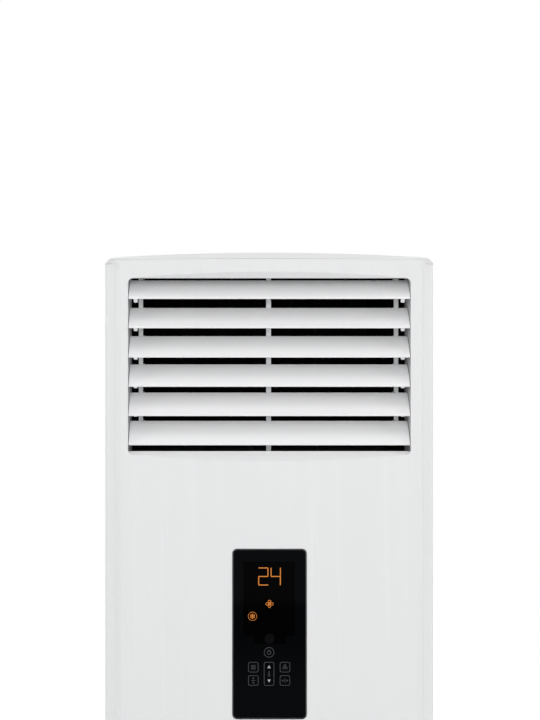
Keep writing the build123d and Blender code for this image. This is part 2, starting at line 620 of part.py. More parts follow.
def make_cassette():
    """Moulded tube behind the louvre frame that holds the vane pivots top and bottom."""
    half = CASSETTE_HALF + CASSETTE_WALL
    tube = block(-half, half, FRAME_BACK, CASSETTE_BACK, OPENING_LOW - CASSETTE_WALL,
                 CASSETTE_TOP + CASSETTE_WALL)
    tube += block(-half, half, FRAME_BACK, FRAME_BACK + CASSETTE_WALL, CASSETTE_TOP,
                  FRAME_TOP + FRAME_WALL)
    tube -= block(-CASSETTE_HALF, CASSETTE_HALF, FRAME_BACK + CASSETTE_WALL,
                  CASSETTE_BACK + 1, OPENING_LOW, CASSETTE_TOP)
    tube -= block(-OPENING_HALF, OPENING_HALF, FRAME_BACK - 1, FRAME_BACK + CASSETTE_WALL + 1,
                  OPENING_LOW, CASSETTE_TOP)
    for x in VANE_XS:
        tube -= rod("Z", x, VANE_Y, OPENING_LOW - CASSETTE_WALL - 1, CASSETTE_TOP + 10,
                    PIVOT_RADIUS + RUN)
    return tube


def make_vane(index):
    """Upright vane with a pivot stem and, near its rear edge, a pin for the link bar."""
    nose = VANE_THICK / 2
    plan = make_face(Polyline((-nose * 0.5, -VANE_FRONT), (nose * 0.5, -VANE_FRONT),
                              (nose, -VANE_FRONT + 6), (nose, VANE_REAR - 8),
                              (nose * 0.4, VANE_REAR), (-nose * 0.4, VANE_REAR),
                              (-nose, VANE_REAR - 8), (-nose, -VANE_FRONT + 6), close=True))
    vane = Pos(0, 0, VANE_LOW) * extrude(plan, amount=VANE_HIGH - VANE_LOW)
    vane += rod("Z", 0, 0, VANE_LOW, VANE_HIGH, PIVOT_RADIUS + 1)
    vane += rod("Z", 0, 0, OPENING_LOW - CASSETTE_WALL + FIT,
                CASSETTE_TOP + CASSETTE_WALL - FIT, PIVOT_RADIUS)
    vane += rod("Z", 0, VANE_CRANK, VANE_BAR_LOW - 0.5, VANE_LOW, PIN_RADIUS)
    if VANE_XS[index] == DRIVEN_VANE_X:
        vane += rod("Z", 0, 0, VANE_HIGH - 36, VANE_HIGH, 6)
    return Pos(VANE_XS[index], VANE_Y, 0) * (Rot(0, 0, VANE_TURN) * vane)


def make_vane_link():
    """Flat bar under the vanes that ties their rear pins together."""
    turn = math.radians(VANE_TURN)
    shift = -VANE_CRANK * math.sin(turn)
    y = VANE_Y + VANE_CRANK * math.cos(turn)
    reach = VANE_XS[-1] + 6
    bar = block(shift - reach, shift + reach, y - 3.5, y + 3.5, VANE_BAR_LOW, VANE_BAR_HIGH)
    for x in VANE_XS:
        bar -= rod("Z", x + shift, y, VANE_BAR_LOW - 1, VANE_BAR_HIGH + 1, PIN_RADIUS + RUN)
    return bar


def make_vane_motor():
    """Geared stepper on the cassette's roof, over the driven vane."""
    x = DRIVEN_VANE_X
    start = CASSETTE_TOP + CASSETTE_WALL
    motor = rod("Z", x, VANE_Y, start, start + 10, MOTOR_RADIUS)
    motor += block(x - 19, x + 19, VANE_Y - 4, VANE_Y + 4, start, start + 1.2)
    return motor + block(x - 7, x + 7, VANE_Y + 8, VANE_Y + 16, start + 2, start + 9)


# ---- Display -----------------------------------------------------------------------------
def display_slab(inset, y0, y1):
    """Rounded display outline, drawn in by inset, between two depths."""
    half = DISPLAY_WIDTH / 2 - inset
    return front_slab(half, DISPLAY_LOW + inset, DISPLAY_TOP - inset,
                      DISPLAY_CORNER - inset, y0, y1)


def make_display_bezel():
    """Thin bright rim with a ledge that the window rests on."""
    rim = display_slab(0, FRONT, FRONT + RIM_DEPTH)
    rim -= display_slab(RIM, FRONT - 1, FRONT + WINDOW_SINK + WINDOW_THICK)
    return rim - display_slab(RIM + 3, FRONT, FRONT + RIM_DEPTH + 1)


def make_display_window():
    """Gloss black touch window inside the rim."""
    return display_slab(RIM + FIT / 2, FRONT + WINDOW_SINK, FRONT + WINDOW_SINK + WINDOW_THICK)


def make_display_board():
    """Circuit board behind the window with its lamp blocks and connector."""
    y = FRONT + RIM_DEPTH
    board = display_slab(1, y, y + BOARD_THICK)
    rear = y + BOARD_THICK
    board += block(-20, 20, y - 3, y, DISPLAY_TOP - 90, DISPLAY_TOP - 25)
    board += block(-45, -30, rear, rear + 6, DISPLAY_LOW + 18, DISPLAY_LOW + 38)
    return board + block(-5, 15, rear, rear + 3, DISPLAY_LOW + 88, DISPLAY_LOW + 113)


# ---- Air path: duct, coil and drain --------------------------------------------------------
DUCT_SKIN = 12.0
DUCT_REAR = BACK - 55    # inner face of the duct's upright rear wall
DUCT_BEND_LOW = HEIGHT - 265
DUCT_LOW = 1160.0
DUCT_FRONT = PANEL_BACK + 79    # inner face of its front wall at the bottom
DUCT_SIDE = 8.0
COIL_LEAN = 25.0
COIL_THICK = 50.0
COIL_HEIGHT = 466.0
COIL_HALF = CASSETTE_HALF - 10
COIL_FRONT = PANEL_BACK + 65    # lower front edge of the coil
COIL_LOW = 706.0
COIL_ROWS = 10
ROW_PITCH = 44.0
COLUMN_PITCH = 24.0
TUBE_RADIUS = 4.8
FIN_PITCH = 11.6
FIN_GROOVE = 7.0
FIN_DEPTH = 8.0
END_PLATE = 1.5
DRAIN_WALL = 2.0
DRAIN_DEPTH = 34.0
SPOUT_X = CASSETTE_HALF - 37
SPOUT_RADIUS = 10.0
SPOUT_BORE = 8.0
SPOUT_LENGTH = 32.0


def duct_profile(skin):
    """Side outline of the air path, or of its foam skin, from the coil up to the cassette."""
    rear = DUCT_REAR + skin
    top = CASSETTE_TOP + skin
    span = rear - CASSETTE_BACK
    rise = top - DUCT_BEND_LOW
    radius = (span**2 + rise**2) / (2 * span)
    middle = math.atan2(rise, radius - span) / 2
    bend = (rear - radius + radius * math.cos(middle), DUCT_BEND_LOW + radius * math.sin(middle))
    over = 0 if skin else 1
    low = DUCT_LOW - over
    floor = OPENING_LOW - skin
    front = DUCT_FRONT - skin
    return make_face([
        Line((rear, low), (rear, DUCT_BEND_LOW)),
        ThreePointArc((rear, DUCT_BEND_LOW), bend, (CASSETTE_BACK, top)),
        Polyline((CASSETTE_BACK, top), (CASSETTE_BACK - over, top), (CASSETTE_BACK - over, floor),
                 (CASSETTE_BACK, floor), (front, DUCT_LOW + 20), (front, low), (rear, low))
        if over else
        Polyline((CASSETTE_BACK, top), (CASSETTE_BACK, floor), (front, DUCT_LOW + 20),
                 (front, low), (rear, low)),
    ])


def make_air_duct():
    """Foam duct that turns the air forward, with ledges that reach the side panels."""
    half = CASSETTE_HALF + DUCT_SIDE
    duct = extrude(side_plane(-half) * duct_profile(DUCT_SKIN), amount=2 * half)
    duct -= extrude(side_plane(-CASSETTE_HALF) * duct_profile(0), amount=2 * CASSETTE_HALF)
    reach = HALF - SHEET - FIT
    for z in (DUCT_LOW + 60, DUCT_BEND_LOW - 40):
        for x0, x1 in ((half, reach), (-reach, -half)):
            duct += block(x0, x1, 0, DUCT_REAR, z, z + 30)
    return duct


def coil_place(shape):
    """Stand a shape drawn upright on the coil's lean, at its lower front edge."""
    return Pos(0, COIL_FRONT, COIL_LOW) * (Rot(-COIL_LEAN, 0, 0) * shape)


def coil_tube_centres():
    """Upright places of the coil's tubes, as depth and height, one column after the other."""
    start = (COIL_HEIGHT - (COIL_ROWS - 1) * ROW_PITCH) / 2
    depths = ((COIL_THICK - COLUMN_PITCH) / 2, (COIL_THICK + COLUMN_PITCH) / 2)
    return [[(y, start + row * ROW_PITCH) for row in range(COIL_ROWS)] for y in depths]


def make_coil_fins():
    """Fin pack, grooved on both faces, with a hole for each tube."""
    pack = block(-COIL_HALF, COIL_HALF, 0, COIL_THICK, 0, COIL_HEIGHT)
    holes = [rod("X", y, z, -COIL_HALF - 1, COIL_HALF + 1, TUBE_RADIUS + RUN)
             for column in coil_tube_centres() for y, z in column]
    count = int((2 * COIL_HALF - FIN_GROOVE) / FIN_PITCH)
    first = -(count - 1) * FIN_PITCH / 2
    grooves = []
    for index in range(count):
        x = first + index * FIN_PITCH
        for y0, y1 in ((-1, FIN_DEPTH), (COIL_THICK - FIN_DEPTH, COIL_THICK + 1)):
            grooves.append(block(x - FIN_GROOVE / 2, x + FIN_GROOVE / 2, y0, y1, -1,
                                 COIL_HEIGHT + 1))
    return coil_place(pack - holes - grooves)


def make_coil_tubes():
    """One serpentine copper run with half-round return bends outside the end plates."""
    end = tube_end()
    columns = coil_tube_centres()
    pieces = []
    for column in columns:
        for index, (y, z) in enumerate(column):
            pieces.append(rod("X", y, z, -end, RISER_X if index == 0 else end, TUBE_RADIUS))
            if index < COIL_ROWS - 1:
                side = -1 if index % 2 == 0 else 1
                pieces.append(return_bend(side, (y, z), (0, -side, 0), (y, z + ROW_PITCH / 2)))
    (front, top), (rear, _) = columns[0][-1], columns[1][-1]
    pieces.append(return_bend(1, (front, top), (0, 0, 1), ((front + rear) / 2, top)))
    run = pieces[0] + pieces[1:]
    return coil_place(run)


def tube_end():
    """Where the straight tubes end and the return bends begin."""
    return COIL_HALF + END_PLATE + 2


def return_bend(side, start, direction, centre):
    """Half-round bend from a tube's end at start, turned about an axis through centre."""
    x = side * tube_end()
    section = Plane(origin=(x, *start), x_dir=(0, 1, 0), z_dir=(side, 0, 0)) * Circle(TUBE_RADIUS)
    return revolve(section, Axis((x, *centre), direction), 180)


def make_coil_plates():
    """Pressed end plates with turned edges, bridged to the side panels by two tabs each."""
    inner = COIL_HALF
    outer = inner + END_PLATE
    plate = block(inner, outer, -6, COIL_THICK + 6, 4, COIL_HEIGHT)
    for column in coil_tube_centres():
        for y, z in column:
            plate -= rod("X", y, z, inner - 1, outer + 1, TUBE_RADIUS + RUN)
    for z in (130, COIL_HEIGHT - 150):
        plate += block(outer, HALF - SHEET - FIT, COIL_THICK + 4.5, COIL_THICK + 6, z, z + 30)
    plate = coil_place(plate)
    return Compound(children=[plate, mirrored(plate)])


def make_drain_pan():
    """Moulded tray under the coil's lower edge, with side flanges and a stub for the hose."""
    lean = math.radians(COIL_LEAN)
    floor = COIL_LOW - COIL_THICK * math.sin(lean) - FIT
    reach = HALF - SHEET - FIT
    half = CASSETTE_HALF
    y0 = COIL_FRONT - 30
    y1 = COIL_FRONT + COIL_THICK * math.cos(lean) + 34
    low = floor - DRAIN_WALL
    high = low + DRAIN_DEPTH
    pan = block(-half, half, y0, y1, low, high)
    pan -= block(-half + DRAIN_WALL, half - DRAIN_WALL, y0 + DRAIN_WALL, y1 - DRAIN_WALL,
                 floor, high + 1)
    for x0, x1 in ((half, reach), (-reach, -half)):
        for y2, y3 in ((y0, y0 + 22), (y1 - 22, y1)):
            pan += block(x0, x1, y2, y3, high - DRAIN_WALL, high)
    y = y1 - 16
    pan += rod("Z", SPOUT_X, y, low - SPOUT_LENGTH, low, SPOUT_RADIUS)
    pan += rod("Z", SPOUT_X, y, low - 4, low, SPOUT_RADIUS + 5)
    return pan - rod("Z", SPOUT_X, y, low - SPOUT_LENGTH - 1, floor + 1, SPOUT_BORE)


# ---- Fan: scroll, inlet ring, wheel, shaft and motor ---------------------------------------
FAN_X = -20.0
FAN_Z = 285.0
SCROLL_BACK = BACK - 113
SCROLL_FRONT = SCROLL_BACK - 180
SCROLL_SKIN = 3.0
SCROLL_TOP = 630.0
VOLUTE_RADIUS = 165.0    # first arc; each quarter turn adds a step
VOLUTE_STEP = 22.0
VOLUTE_SHIFT = (-8.0, -6.0)
TONGUE_ANGLE = 65.0
WHEEL_RADIUS = 145.0
WHEEL_INNER = 120.0
WHEEL_FRONT = SCROLL_FRONT + 28
WHEEL_BACK = SCROLL_BACK - 24
WHEEL_BLADES = 36
WHEEL_PLATE = 2.0
BLADE_SHEET = 1.4
HUB_RADIUS = 20.0
HUB_LENGTH = 26.0
SHAFT_RADIUS = 6.0
INLET_RADIUS = 118.0
INLET_FLANGE = 150.0
MOTOR_BODY = 62.0
MOTOR_FRONT = SCROLL_BACK + 13
MOTOR_BACK = BACK - 20
BRACKET_PLATE = 3.0
LEGS = (-140.0, 55.0)
LEG_TOP = 170.0


def volute_face(skin):
    """Spiral outline of the scroll made of quarter arcs, open upwards past its tongue."""
    x1 = FAN_X + VOLUTE_SHIFT[0]
    z1 = FAN_Z + VOLUTE_SHIFT[1]
    r1 = VOLUTE_RADIUS + skin
    r2 = r1 + VOLUTE_STEP
    r3 = r2 + VOLUTE_STEP
    x2 = x1 + VOLUTE_STEP
    z3 = z1 + VOLUTE_STEP
    tongue_x = x1 + VOLUTE_RADIUS * math.cos(math.radians(TONGUE_ANGLE)) - skin
    tongue = math.acos((tongue_x - x1) / r1)
    start = (tongue_x, z1 + r1 * math.sin(tongue))
    half_way = (tongue + math.pi) / 2
    turn = math.sqrt(0.5)
    top = SCROLL_TOP + (0 if skin else 1)
    edges = [
        ThreePointArc(start, (x1 + r1 * math.cos(half_way), z1 + r1 * math.sin(half_way)),
                      (x1 - r1, z1)),
        ThreePointArc((x1 - r1, z1), (x2 - r2 * turn, z1 - r2 * turn), (x2, z1 - r2)),
        ThreePointArc((x2, z1 - r2), (x2 + r3 * turn, z3 - r3 * turn), (x2 + r3, z3)),
        Polyline((x2 + r3, z3), (x2 + r3, top), (tongue_x, top), start),
    ]
    return make_face(edges)


def make_scroll():
    """Scroll housing: a spiral band on two legs between a front and a rear cheek."""
    front = SCROLL_FRONT - SCROLL_SKIN
    back = SCROLL_BACK + SCROLL_SKIN
    depth = SCROLL_BACK - SCROLL_FRONT
    band = extrude(front_plane(SCROLL_BACK) * volute_face(SCROLL_SKIN), amount=depth)
    for x in LEGS:
        band += block(x - 12, x + 12, SCROLL_FRONT, SCROLL_BACK, PANEL_Z0, LEG_TOP)
        band += block(x - 24, x + 24, SCROLL_FRONT, SCROLL_BACK, PANEL_Z0, PANEL_Z0 + 4)
    band -= extrude(front_plane(SCROLL_BACK) * volute_face(0), amount=depth)
    cheek = volute_face(SCROLL_SKIN)
    front_cheek = extrude(front_plane(SCROLL_FRONT) * cheek, amount=SCROLL_SKIN)
    front_cheek -= rod("Y", FAN_X, FAN_Z, front - 1, SCROLL_FRONT + 1, INLET_RADIUS + 12)
    rear_cheek = extrude(front_plane(back) * cheek, amount=SCROLL_SKIN)
    rear_cheek -= rod("Y", FAN_X, FAN_Z, SCROLL_BACK - 1, back + 1, HUB_RADIUS + 10)
    return Compound(children=[band, front_cheek, rear_cheek])


def make_inlet_ring():
    """Bell mouth that guides the air into the wheel."""
    back = SCROLL_FRONT - SCROLL_SKIN
    throat = INLET_RADIUS - 4
    outline = [
        Polyline((INLET_FLANGE, 0), (INLET_FLANGE, 2), (INLET_RADIUS + 11, 2)),
        ThreePointArc((INLET_RADIUS + 11, 2), (throat + 4.4, 6.6), (throat + 2, 18)),
        Polyline((throat + 2, 18), (throat, 18)),
        ThreePointArc((throat, 18), (throat + 3, 5.2), (INLET_RADIUS + 11, 0)),
        Line((INLET_RADIUS + 11, 0), (INLET_FLANGE, 0)),
    ]
    ring = revolve(Plane.XZ * make_face(outline), Axis.Z)
    return Pos(FAN_X, back - 2, FAN_Z) * (Rot(-90, 0, 0) * ring)


def wheel_place(shape):
    """Lay a shape drawn on the Z axis along the fan's axis, its foot on the wheel's back."""
    return Pos(FAN_X, WHEEL_BACK, FAN_Z) * (Rot(90, 0, 0) * shape)


def wheel_disc(radius, height):
    """Round disc that stands on the XY plane."""
    return Cylinder(radius, height, align=(Align.CENTER, Align.CENTER, Align.MIN))


def make_wheel_plate():
    """Back plate of the wheel with the hub that grips the shaft."""
    plate = wheel_disc(WHEEL_RADIUS, WHEEL_PLATE) + wheel_disc(HUB_RADIUS, HUB_LENGTH)
    return wheel_place(plate - Cylinder(SHAFT_RADIUS + RUN, 3 * HUB_LENGTH))


def make_wheel_ring():
    """Flat front ring of the wheel."""
    ring = wheel_disc(WHEEL_RADIUS, WHEEL_PLATE) - Cylinder(WHEEL_INNER, 3 * WHEEL_PLATE)
    return wheel_place(Pos(0, 0, WHEEL_BACK - WHEEL_FRONT - WHEEL_PLATE) * ring)


def make_wheel_blades():
    """Forward-curved blades between the wheel's plate and its ring."""
    lean = math.radians(7)
    inner = (WHEEL_INNER + 0.5, 0)
    outer = ((WHEEL_RADIUS - 0.7) * math.cos(lean), (WHEEL_RADIUS - 0.7) * math.sin(lean))
    belly = ((inner[0] + outer[0]) / 2 + 1.2, (inner[1] + outer[1]) / 2 - 5.2)
    blade_face = make_face([
        ThreePointArc(inner, belly, outer),
        Line(outer, (outer[0] - 0.2, outer[1] + BLADE_SHEET)),
        ThreePointArc((outer[0] - 0.2, outer[1] + BLADE_SHEET),
                      (belly[0] - 0.4, belly[1] + BLADE_SHEET), (inner[0], BLADE_SHEET)),
        Line((inner[0], BLADE_SHEET), inner),
    ])
    length = WHEEL_BACK - WHEEL_FRONT - 2 * WHEEL_PLATE
    blade = Pos(0, 0, WHEEL_PLATE) * extrude(blade_face, amount=length)
    return Compound(children=[wheel_place(Rot(0, 0, 360 * n / WHEEL_BLADES) * blade)
                              for n in range(WHEEL_BLADES)])


def make_motor_shaft():
    """Steel shaft from the wheel's hub through the motor."""
    return rod("Y", FAN_X, FAN_Z, WHEEL_BACK - 30, MOTOR_BACK + 3, SHAFT_RADIUS)


def make_fan_motor():
    """Drum motor with end bells, cooling ribs and a cable box."""
    bell = 12.0
    outline = Polyline((SHAFT_RADIUS + RUN, MOTOR_FRONT), (18, MOTOR_FRONT),
                       (18, MOTOR_FRONT + 4), (MOTOR_BODY - 8, MOTOR_FRONT + 4),
                       (MOTOR_BODY, MOTOR_FRONT + bell), (MOTOR_BODY, MOTOR_BACK - bell),
                       (MOTOR_BODY - 10, MOTOR_BACK), (SHAFT_RADIUS + RUN, MOTOR_BACK),
                       close=True)
    drum = revolve(Plane.XZ * make_face(outline), Axis.Z)
    motor = Pos(FAN_X, 0, FAN_Z) * (Rot(-90, 0, 0) * drum)
    middle = (MOTOR_FRONT + MOTOR_BACK) / 2
    ribs = [Pos(FAN_X, middle, FAN_Z) * (Rot(0, angle, 0) * Pos(MOTOR_BODY + 1, 0, 0)
            * Box(6, MOTOR_BACK - MOTOR_FRONT - 2 * bell - 4, 2)) for angle in range(0, 360, 20)]
    motor = motor + ribs
    return motor + block(FAN_X - 20, FAN_X + 20, middle - 18, middle + 18, FAN_Z + MOTOR_BODY - 6,
                         FAN_Z + MOTOR_BODY + 16)


def make_motor_bracket():
    """Spider plate on the scroll's rear wall with four posts to the motor's front bell."""
    start = SCROLL_BACK + SCROLL_SKIN
    plate = rod("Y", FAN_X, FAN_Z, start, start + BRACKET_PLATE, 92)
    plate -= rod("Y", FAN_X, FAN_Z, start - 1, start + BRACKET_PLATE + 1, HUB_RADIUS + 8)
    for angle in range(0, 360, 90):
        a = math.radians(angle + 45)
        x = FAN_X + 44 * math.cos(a)
        z = FAN_Z + 44 * math.sin(a)
        plate += rod("Y", x, z, start, MOTOR_FRONT + 4, 6)
        a = math.radians(angle)
        window = rod("Y", FAN_X + 60 * math.cos(a), FAN_Z + 60 * math.sin(a), start - 1,
                     start + BRACKET_PLATE + 1, 16)
        plate -= window
    return plate


# ---- Refrigerant pipes ---------------------------------------------------------------------
GAS_RADIUS = 9.5
LIQUID_RADIUS = 4.8
RISER_X = HALF - 14
GAS_Y = BACK - 83
LIQUID_Y = BACK - 61
GAS_PORT = (138.0, 200.0)
LIQUID_PORT = (164.0, 206.0)
PORT_Y = SIDE_BACK - 10
NUT_LENGTH = 22.0
NUT_NECK = 10.0
NUT_WALL = 2.0
NUT_BACK = PORT_Y - NUT_NECK
PIPE_END = NUT_BACK - NUT_WALL


def coil_point(column, row):
    """Depth and height of a tube's centre on the leaning coil."""
    y, z = coil_tube_centres()[column][row]
    lean = math.radians(COIL_LEAN)
    return (COIL_FRONT + y * math.cos(lean) + z * math.sin(lean),
            COIL_LOW - y * math.sin(lean) + z * math.cos(lean))


def pipe_socket(column):
    """Hole in a pipe's wall that takes the end of the coil's lowest tube."""
    y, z = coil_point(column, 0)
    return rod("X", y, z, RISER_X - 30, RISER_X + FIT, TUBE_RADIUS + RUN)


def pipe(points, bends, radius):
    """Round pipe along straight runs joined by bends."""
    path = FilletPolyline(*points, radius=bends)
    start = Plane(origin=path @ 0, z_dir=path % 0)
    return sweep(start * Circle(radius), path=path)


def make_gas_pipe():
    """Wide suction pipe from the coil's front column to its port behind the pipe hole."""
    y0, z0 = coil_point(0, 0)
    x, z = GAS_PORT
    points = [(RISER_X, y0, z0 + 16), (RISER_X, y0, z0 - 110), (RISER_X, GAS_Y, z0 - 170),
              (RISER_X, GAS_Y, z + 60), (x, GAS_Y, z), (x, PIPE_END, z)]
    return pipe(points, 18, GAS_RADIUS) - pipe_socket(0)


def make_liquid_pipe():
    """Narrow liquid pipe from the coil's rear column to its port behind the pipe hole."""
    y0, z0 = coil_point(1, 0)
    x, z = LIQUID_PORT
    points = [(RISER_X, y0 - 8, z0), (RISER_X, LIQUID_Y, z0),
              (RISER_X, LIQUID_Y, z + 40), (x, LIQUID_Y, z), (x, PIPE_END, z)]
    return pipe(points, 13, LIQUID_RADIUS) - pipe_socket(1)


def make_flare_nuts():
    """Brass flare nuts that close the two pipes' ends, each with a round neck to the rear."""
    nuts = []
    for port, radius, across in ((GAS_PORT, GAS_RADIUS, 16.0), (LIQUID_PORT, LIQUID_RADIUS, 9.5)):
        nut = extrude(front_plane(NUT_BACK) * (Pos(*port) * RegularPolygon(across, 6)),
                      amount=NUT_LENGTH)
        nut += rod("Y", *port, NUT_BACK, PORT_Y, radius)
        nuts.append(nut - rod("Y", *port, NUT_BACK - NUT_LENGTH - 1, PIPE_END, radius + RUN))
    return Compound(children=nuts)


# ---- Controls and filter -------------------------------------------------------------------
BOX_HALF = 150.0
BOX_LOW = DISPLAY_LOW + 8
BOX_HIGH = BOX_LOW + 265
BOX_SKIN = 1.2
BOX_FRONT = PANEL_BACK - 5
BOX_BACK = COLUMN_BACK + SEAM + SHEET
FILTER_HALF = HALF - 55
FILTER_LOW = 136.0
FILTER_HIGH = 612.0
FILTER_THICK = 6.0
FILTER_FRAME_FRONT = PANEL_BACK + 1
FILTER_FRONT = FILTER_FRAME_FRONT + 6


def make_electrical_box():
    """Sheet tray on a full-width rail, fixed behind the side panels' front flanges."""
    reach = HALF - SHEET - FIT
    plate = block(-reach, reach, BOX_BACK, BOX_BACK + BOX_SKIN, BOX_LOW - 20, BOX_HIGH + 20)
    tray = block(-BOX_HALF, BOX_HALF, BOX_FRONT, BOX_BACK, BOX_LOW, BOX_HIGH)
    tray -= block(-BOX_HALF + BOX_SKIN, BOX_HALF - BOX_SKIN, BOX_FRONT - 1, BOX_BACK,
                  BOX_LOW + BOX_SKIN, BOX_HIGH - BOX_SKIN)
    return plate + tray


def make_electrical_cover():
    """Lid of the electrical box with a turned-down edge."""
    lid = block(-BOX_HALF - 1.5, BOX_HALF + 1.5, BOX_FRONT - 1.2, BOX_FRONT + 10, BOX_LOW - 1.5,
                BOX_HIGH + 1.5)
    return lid - block(-BOX_HALF - FIT, BOX_HALF + FIT, BOX_FRONT, BOX_FRONT + 11, BOX_LOW - FIT,
                       BOX_HIGH + FIT)


def make_control_board():
    """Main circuit board on four standoffs, with its tall parts."""
    y = BOX_BACK - 6
    board = block(-130, 60, y - BOARD_THICK, y, BOX_LOW + 30, BOX_HIGH - 30)
    for x in (-122, 52):
        for z in (BOX_LOW + 38, BOX_HIGH - 38):
            board += rod("Y", x, z, y, BOX_BACK, 4)
    top = y - BOARD_THICK
    board += block(-110, -70, top - 14, top, BOX_HIGH - 80, BOX_HIGH - 45)
    board += block(-20, 20, top - 9, top, BOX_LOW + 60, BOX_LOW + 90)
    for x in (-50, -28, -6):
        board += rod("Y", x, BOX_HIGH - 62, top - 12, top, 8)
    return board


def make_terminal_block():
    """Mains terminal strip with a barrier between each pair of screws."""
    strip = block(85, 135, BOX_BACK - 12, BOX_BACK, BOX_LOW + 40, BOX_LOW + 160)
    for index in range(6):
        z = BOX_LOW + 44 + index * 19.5
        strip -= block(90, 130, BOX_BACK - 13, BOX_BACK - 6, z, z + 15)
    return strip


def make_filter_frame():
    """Two grooved side rails, a sill and a header that hold the air filter."""
    back = COLUMN_BACK + SEAM
    half = PANEL_HALF - 2.5
    inner = FILTER_HALF - 10
    header = FILTER_HIGH - 12
    groove = block(-FILTER_HALF - FIT, FILTER_HALF + FIT, FILTER_FRONT - FIT,
                   FILTER_FRONT + FILTER_THICK + FIT, FILTER_LOW - FIT, FILTER_HIGH + 30)
    bars = [block(inner, half, FILTER_FRAME_FRONT, back, FILTER_LOW - 26, FILTER_HIGH + 28),
            block(-half, -inner, FILTER_FRAME_FRONT, back, FILTER_LOW - 26, FILTER_HIGH + 28),
            block(-inner, inner, FILTER_FRAME_FRONT, back, FILTER_LOW - 26, FILTER_LOW),
            block(-inner, inner, FILTER_FRAME_FRONT, FILTER_FRONT - FIT, header,
                  FILTER_HIGH + 28),
            block(-inner, inner, FILTER_FRONT + FILTER_THICK + FIT, back, header,
                  FILTER_HIGH + 28)]
    return Compound(children=[bar - groove for bar in bars])


def make_air_filter():
    """Sliding filter: a ribbed frame over a fine mesh, with a finger tab on top."""
    back = FILTER_FRONT + FILTER_THICK
    body = block(-FILTER_HALF, FILTER_HALF, FILTER_FRONT, back, FILTER_LOW, FILTER_HIGH)
    cells_x, cells_z = 4, 5
    cell_w = (2 * FILTER_HALF - 12) / cells_x
    cell_h = (FILTER_HIGH - FILTER_LOW - 12) / cells_z
    for i in range(cells_x):
        for k in range(cells_z):
            x = -FILTER_HALF + 6 + i * cell_w
            z = FILTER_LOW + 6 + k * cell_h
            for y0, y1 in ((FILTER_FRONT - 1, FILTER_FRONT + 2.4), (back - 2.4, back + 1)):
                body -= block(x + 3, x + cell_w - 3, y0, y1, z + 3, z + cell_h - 3)
    return body + block(-25, 25, FILTER_FRONT, back, FILTER_HIGH, FILTER_HIGH + 14)


# ---- Write every piece ---------------------------------------------------------------------
def all_pieces():
    """Every piece of the air conditioner by name."""
    side = make_side_panel()
    column = make_column()
    pieces = {
        "base_pan": make_base_pan(),
        "base_feet": make_base_feet(),
        "plinth": make_plinth(),
        "rear_panel": make_rear_panel(),
        "rear_screws": make_rear_screws(),
        "left_side_panel": mirrored(side),
        "right_side_panel": side,
        "left_column": mirrored(column),
        "right_column": column,
        "top_cover": make_top_cover(),
        "upper_fascia": make_fascia() + make_hinge_brackets(),
        "intake_panel": make_intake_panel(),
        "wall_bracket": make_wall_bracket(),
        "grommets": make_grommets(),
        "louvre_frame": make_louvre_frame(),
        "louvre_centre_post": make_centre_post(),
        "louvre_link_bars": make_link_bars(),
        "louvre_motor": make_louvre_motor(),
        "vane_cassette": make_cassette(),
        "vane_link_bar": make_vane_link(),
        "vane_motor": make_vane_motor(),
        "display_bezel": make_display_bezel(),
        "display_window": make_display_window(),
        "display_board": make_display_board(),
        "air_duct": make_air_duct(),
        "evaporator_fins": make_coil_fins(),
        "evaporator_tubes": make_coil_tubes(),
        "evaporator_end_plates": make_coil_plates(),
        "drain_pan": make_drain_pan(),
        "scroll_housing": make_scroll(),
        "inlet_ring": make_inlet_ring(),
        "fan_wheel_plate": make_wheel_plate(),
        "fan_wheel_ring": make_wheel_ring(),
        "fan_wheel_blades": make_wheel_blades(),
        "motor_shaft": make_motor_shaft(),
        "fan_motor": make_fan_motor(),
        "motor_bracket": make_motor_bracket(),
        "gas_pipe": make_gas_pipe(),
        "liquid_pipe": make_liquid_pipe(),
        "flare_nuts": make_flare_nuts(),
        "electrical_box": make_electrical_box(),
        "electrical_cover": make_electrical_cover(),
        "control_board": make_control_board(),
        "terminal_block": make_terminal_block(),
        "filter_frame": make_filter_frame(),
        "air_filter": make_air_filter(),
    }
    for index in range(BLADES):
        pieces[f"louvre_blade_{index + 1}"] = make_blade(index)
    for index in range(len(VANE_XS)):
        pieces[f"vane_{index + 1}"] = make_vane(index)
    return pieces


for name, piece in all_pieces().items():
    export_step(piece, f"parts/{name}.step")
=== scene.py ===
"""Looks of a floor standing air conditioner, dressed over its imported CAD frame."""

import json
import logging
import math
from dataclasses import dataclass, field
from enum import Enum
from typing import Sequence

import bmesh
import bpy
from mathutils import Matrix, Vector


